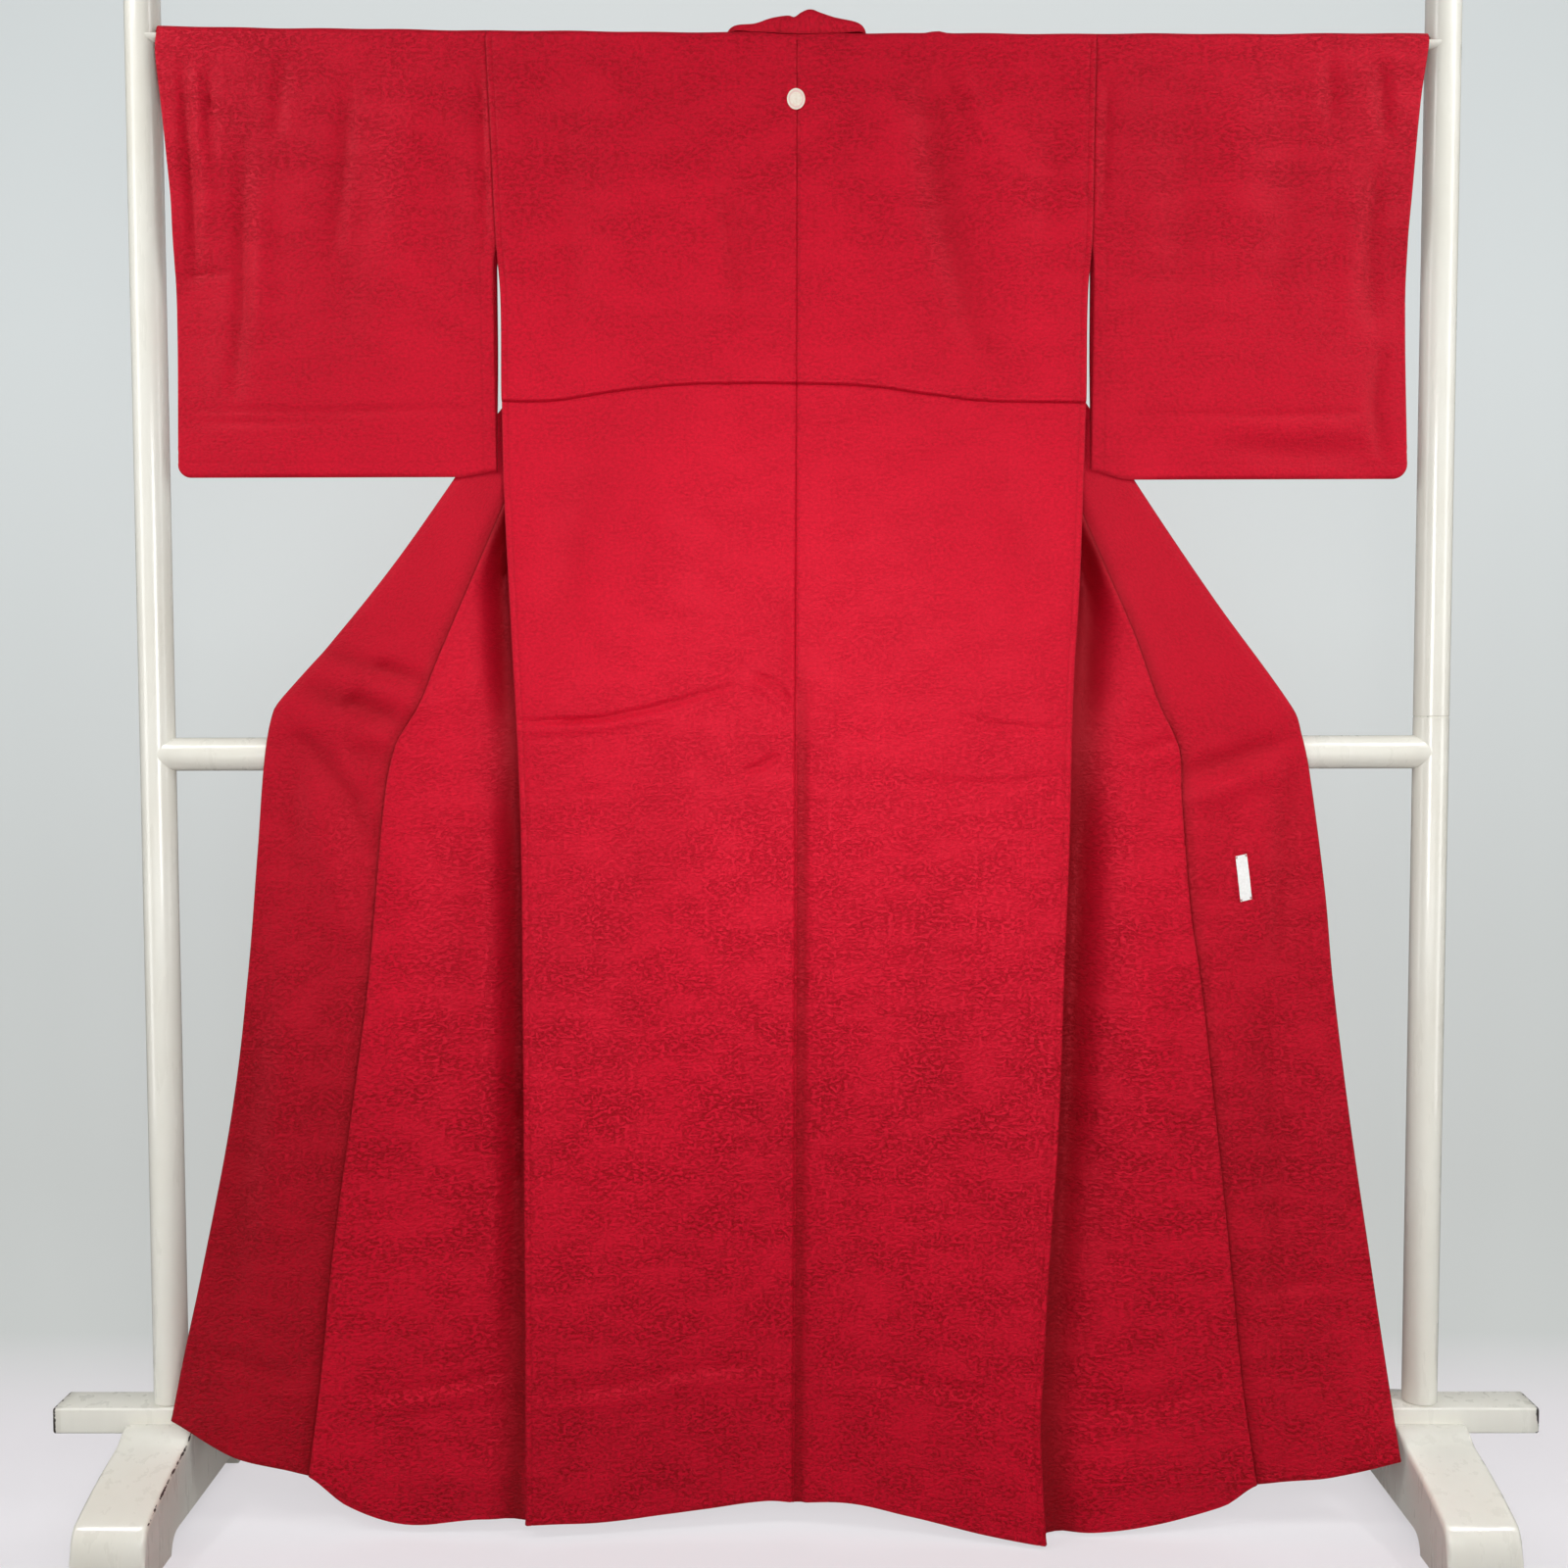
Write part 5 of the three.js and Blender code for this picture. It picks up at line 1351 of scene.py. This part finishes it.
def post(side, joint):
    """A turned post: a circle carried up a profile of radii, with a domed top and, on the right one,
    a fine groove at its joint."""
    foot = BEAM["top"] + GAP
    profile = [(POST_RADIUS - 0.8, foot), (POST_RADIUS, foot + 0.8)]
    profile += [(POST_RADIUS, z) for z in np.linspace(BEAM["top"] + 40, POST_TOP - 60, 12)]
    if joint:
        profile += [(POST_RADIUS - d, joint + dz) for d, dz in ((0, -1.2), (0.7, -0.5), (0.7, 0.5), (0, 1.2))]
    dome = np.radians(np.linspace(0, 84, 13))
    profile += [(POST_RADIUS * np.cos(a), POST_TOP - POST_RADIUS * 0.6 * (1 - np.sin(a))) for a in dome]
    radius, z = np.array(sorted(profile, key=lambda p: (p[1], -p[0]))).T[..., None]
    cos, sin = circle("post")
    rings = joined(side["s"] * POST_X + radius * cos, radius * sin, z)

    def marks(points):
        """Worn at the joint and the foot."""
        groove = 0.9 * bell(points[..., 2] - joint, 2.0) if joint else 0
        return np.clip(0.35 * bell(points[..., 2] - BEAM["top"], 8) + groove, 0, 1)

    piece = carried("turned_post_" + side["name"], rings, CREAM_PAINT, marks)
    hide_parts("post_" + side["name"])


def rod():
    """The dark rod: a circle carried along its sagging line, its ends rubbed."""
    inner = ROD_HALF - ROD_END_CUT
    x = np.concatenate([[-ROD_HALF], np.linspace(-inner, inner, 60), [ROD_HALF]])[:, None]
    radius = np.full(x.shape, float(ROD_RADIUS))
    radius[[0, -1]] -= ROD_END_CUT
    cos, sin = circle("rod")
    rings = joined(x, ROD_Y + radius * cos, rod_z(x) + radius * sin)
    piece = carried("dark_rod", rings, ROD_WOOD, lambda p: bell(np.abs(p[..., 0]) - ROD_HALF, 3))
    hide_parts("rod")


def rail():
    """The middle rail: a circle carried across, its ends coped to the round posts and a little worn."""
    cos, sin = circle("rail")
    y = RAIL_RADIUS * cos
    t = np.concatenate([[-1, -0.985], np.linspace(-0.96, 0.96, 40), [0.985, 1]])[:, None]
    rings = joined(t * coped(y), y, RAIL_Z + RAIL_RADIUS * sin)
    piece = carried("cross_rail", rings, CREAM_PAINT, lambda p: 0.4 * bell(np.abs(p[..., 0]) - 655, 5))
    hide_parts("mid_rail")


def rounded_rectangle(half_x, half_z, edge, steps=6):
    """A rectangle's outline with its corners rounded by quarter circles."""
    parts = []
    for k, (sx, sz) in enumerate(((1, 1), (-1, 1), (-1, -1), (1, -1))):
        a = np.linspace(0, np.pi / 2, steps) + k * np.pi / 2
        parts.append([sx * (half_x - edge) + edge * np.cos(a), sz * (half_z - edge) + edge * np.sin(a)])
    return np.concatenate(parts, -1)


def beam():
    """The long beam under the posts: a rounded rectangle carried across, its ends eased."""
    half_height = (BEAM["top"] - BEAM["bottom"]) / 2
    middle = BEAM["bottom"] + half_height
    ends = [(0, 2.0), (0.6, 0.8), (2.0, 0.0), (12, 0.0), (30, 0.0)]
    stations = [(-BEAM["half"] + d, inset) for d, inset in ends]
    stations += [(x, 0.0) for x in np.linspace(-740, 740, 50)]
    stations += [(BEAM["half"] - d, inset) for d, inset in reversed(ends)]
    rings = []
    for x, inset in stations:
        y, z = rounded_rectangle(BEAM["depth"] / 2 - inset, half_height - inset, BEAM["edge"])
        rings.append(joined(x, y, z + middle))

    def marks(points):
        """Worn at both ends, and a little along the front edges."""
        x, y, z = np.abs(points - [0, 0, middle]).transpose(2, 0, 1)
        corner = y / (BEAM["depth"] / 2) * z / half_height
        end = bell(BEAM["half"] - x - 0.8, 2.4)
        return np.clip(1.3 * end * ease(corner, 0.2, 0.8) + 0.55 * ease(corner, 0.9, 1.0), 0, 1)

    piece = carried("long_beam", np.array(rings), CREAM_PAINT, marks)
    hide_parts("bottom_beam")


def curve(*points, count=10):
    """Places along a Bezier curve, its first one left out."""
    t = np.linspace(0, 1, count + 1)[1:, None]
    return bezier(t, *np.array(points, float))


def foot_outline():
    """A foot's side outline, from the top of its middle round its nose and its arch, and back."""
    notch = BEAM["depth"] / 2 + GAP
    seat = BEAM["bottom"] - GAP
    parts = [
        [(0, seat), (notch - 4, seat), (notch, seat), (notch, 96), (notch, 101), (notch + 3, 102)],
        curve((notch + 3, 102), (42, 102), (44, 96), (58, 92)),
        curve((58, 92), (80, 87), (117, 80), (160, 62)),
        curve((160, 62), (171, 55), (174, 40), (173.5, 25)),
        curve((173.5, 25), (173.5, 6), (168, 0), count=6),
        [(160, 0), (140, 0), (120, 0), (106, 0), (103, 0)],
        curve((103, 0), (100, 19), (84, 19.5), count=6),
        [(70, 19.5), (40, 19.5), (0, 19.5)],
    ]
    half = np.concatenate(parts)
    return np.concatenate([half, (half * [-1, 1])[-2:0:-1]])


def foot_rings(side):
    """A foot's outline carried across its width and drawn in at both faces along its normals, for
    edges that are rounded on top and almost sharp underneath and beside the beam."""
    outline = foot_outline()
    tangent = np.roll(outline, -1, 0) - np.roll(outline, 1, 0)
    inward = unit(joined(-tangent[:, 1], tangent[:, 0]))
    inward *= np.sign(np.median((([0, 50.0] - outline) * inward).sum(1)))
    y, z = np.abs(outline).T
    round_top = np.where((y < 60) & (z > 60), ease(y, 28, 56), 1.0)
    eased = (0.12 + 0.88 * round_top * ease(z, 20, 42))[:, None]
    bevel = FOOT["bevel"]
    half_width = FOOT["width"] / 2
    flat = half_width - bevel - 6
    angles = np.radians(np.linspace(90, 0, 7))
    stations = [(-half_width + bevel * (1 - np.sin(a)), bevel * (1 - np.cos(a))) for a in angles]
    stations += [(x, 0.0) for x in np.linspace(-flat, flat, 6)]
    stations += [(-x, inset) for x, inset in stations[6::-1]]
    rings = []
    for x, inset in stations:
        y, z = (outline + inward * inset * eased).T
        rings.append(joined(side["s"] * FOOT["x"] + x, y, np.maximum(z, 0)))
    return np.array(rings)


def foot(side):
    """The foot's skin, closed at both faces, with its worn edges marked."""
    rings = foot_rings(side)
    rows, cols = rings.shape[:2]
    faces = grid_faces(rows, cols, ring=True).reshape(-1, 4)
    first = np.arange(cols).tolist()
    last = [k + (rows - 1) * cols for k in reversed(first)]
    points = rings.reshape(-1, 3)
    x = points[:, 0] - side["s"] * FOOT["x"]
    edge = bell(np.abs(x) - FOOT["width"] / 2 + 1.2, 1.6) * ease(points[:, 2], 40, 60)
    worn = np.where(x * side["s"] < 0, *FOOT_WEAR[side["name"]])
    marks = np.clip(edge * worn + 0.3 * ease(points[:, 2], 8, 1), 0, 1)
    name = "stand_foot_" + side["name"]
    piece = mesh_piece(name, points, faces, CREAM_PAINT, seam=marks, sharp=35, ends=(first, last))
    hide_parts("foot_" + side["name"])


def cradle(side):
    """A cradle under the rod's end: a half-round wall carried from the post to the sleeve."""
    a = np.linspace(np.pi, 2 * np.pi, 25)
    radius = np.repeat([CRADLE["outer"], CRADLE["bore"]], len(a))
    a = np.concatenate([a, a[::-1]])
    y = ROD_Y + radius * np.cos(a)
    z = rod_z(side["s"] * CRADLE["middle"]) + radius * np.sin(a)
    t = np.array([0, 0.06, 0.5, 1.0])[:, None]
    start = np.minimum(CRADLE["from"], coped(y) - 2)
    x = side["s"] * mix(start, np.minimum(coped(y), CRADLE["to"]), t)
    piece = carried("cradle_" + side["name"], joined(x, y, z), CREAM_PAINT)
    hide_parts("rod_cradle_" + side["name"])


# ------------------------------------------------------------------ room, light and camera


# The camera's place in metres, its focal length in millimetres and its turns in degrees.
EYE = (-0.0022, -1.754, 0.870)
LENS = 38.25
TURNS = ((0.25, "Z"), (90 - 2.925, "X"), (-0.12, "Z"))
# How far the room's paper reaches from the middle, in metres.
ROOM_HALF = 6.0


def camera():
    """At chest height in front of the middle, level within three degrees."""
    data = bpy.data.cameras.new("camera")
    data.lens = LENS
    data.sensor_width = 36
    data.clip_end = 50
    pan, tilt, roll = (Matrix.Rotation(radians(angle), 4, axis) for angle, axis in TURNS)
    eye = to_scene("camera", data)
    eye.matrix_world = Matrix.Translation(EYE) @ pan @ tilt @ roll
    bpy.context.scene.camera = eye


def soft_light(name, place, target, size, power, spread=180):
    """A rectangular area light that faces a target, its beam narrowed to spread degrees."""
    data = bpy.data.lights.new(name, "AREA")
    data.shape = "RECTANGLE"
    data.size, data.size_y = size
    data.energy = power
    data.spread = radians(spread)
    light = to_scene(name, data)
    light.location = place
    light.rotation_euler = (Vector(target) - Vector(place)).to_track_quat("-Z", "Y").to_euler()
    light.visible_camera = False


def paper(name, profile, material):
    """A sheet of the room: a line of (y, z) points in metres, carried to both sides."""
    points = [(x, y, z) for x in (-ROOM_HALF, ROOM_HALF) for y, z in profile]
    count = len(profile)
    faces = [(i, i + count, i + count + 1, i + 1) for i in range(count - 1)]
    mesh = bpy.data.meshes.new(name)
    mesh.from_pydata(points, [], faces)
    mesh.shade_smooth()
    mesh.materials.append(material)
    piece = to_scene(name, mesh)
    piece.visible_shadow = False


def room():
    """A paper sweep behind the stand, a floor under it, and the faint light of the room."""
    turn = np.linspace(0, np.pi / 2, 24)
    sweep = [(-ROOM_HALF, 0.0), (-1.0, 0.0)]
    sweep += [(0.15 + 0.5 * np.sin(a), 0.5 - 0.5 * np.cos(a)) for a in turn] + [(0.65, 5.0)]
    paper("sweep", sweep, new_material("sweep_paper", paper_with_painted_shade, True))
    floor = [(y, -0.001) for y in (-ROOM_HALF, ROOM_HALF)]
    paper("floor", floor, new_material("floor_paper", paper_with_painted_shade, False))
    world = bpy.data.worlds.new("world")
    bpy.context.scene.world = world
    world.use_nodes = True
    tree = world.node_tree
    sky = tree.nodes["Background"].inputs
    feed(tree, (0.9, 0.95, 1.0, 1), sky["Color"])
    feed(tree, ranged(tree, seen_by_camera(tree), 0.0, 1.0, 0.12, 0.7), sky["Strength"])
    bpy.context.scene.view_settings.view_transform = "Standard"


def light_pair(name, place, target, *more):
    """A light on the right, and its mirror image on the left."""
    for side in (LEFT, RIGHT):
        mirror = Vector((side["s"], 1, 1))
        soft_light(name + side["name"], Vector(place) * mirror, Vector(target) * mirror, *more)


def lights():
    """Soft light from the front and the sides, a gleam on each foot's nose, and light behind."""
    soft_light("centre", (0.06, -1.45, 0.93), (0, 0, 0.82), (0.5, 0.9), 6.3, 116)
    light_pair("", (1.55, -0.6, 1.25), (0.6, 0, 1.15), (0.4, 2.2), 4.0, 120)
    light_pair("high ", (1.4, -1.0, 2.3), (0.62, 0, 1.35), (0.5, 0.5), 2.1, 80)
    soft_light("low", (0, -1.7, 0.5), (0, 0, 0.12), (2.4, 0.3), 2.3, 110)
    soft_light("above", (0, -1.1, 3.0), (0, 0, 0.4), (4.4, 0.15), 8.5)
    light_pair("gloss ", (1.45, -1.095, 1.88), (0.67, -0.165, 0.05), (0.5, 0.16), 0.13, 20)
    soft_light("behind", (0.4, 2.6, 2.3), (0, 0, 0.8), (2.0, 2.0), 42)


camera()
for side in (LEFT, RIGHT):
    body(side)
    okumi(side)
for shape in (LEFT_SLEEVE, RIGHT_SLEEVE):
    sleeve(shape)
collar()
crest()
label_stitches(label())
back_stitches()
post(LEFT, 0)
post(RIGHT, POST_JOINT)
rod()
rail()
beam()
for side in (LEFT, RIGHT):
    foot(side)
    cradle(side)
room()
lights()
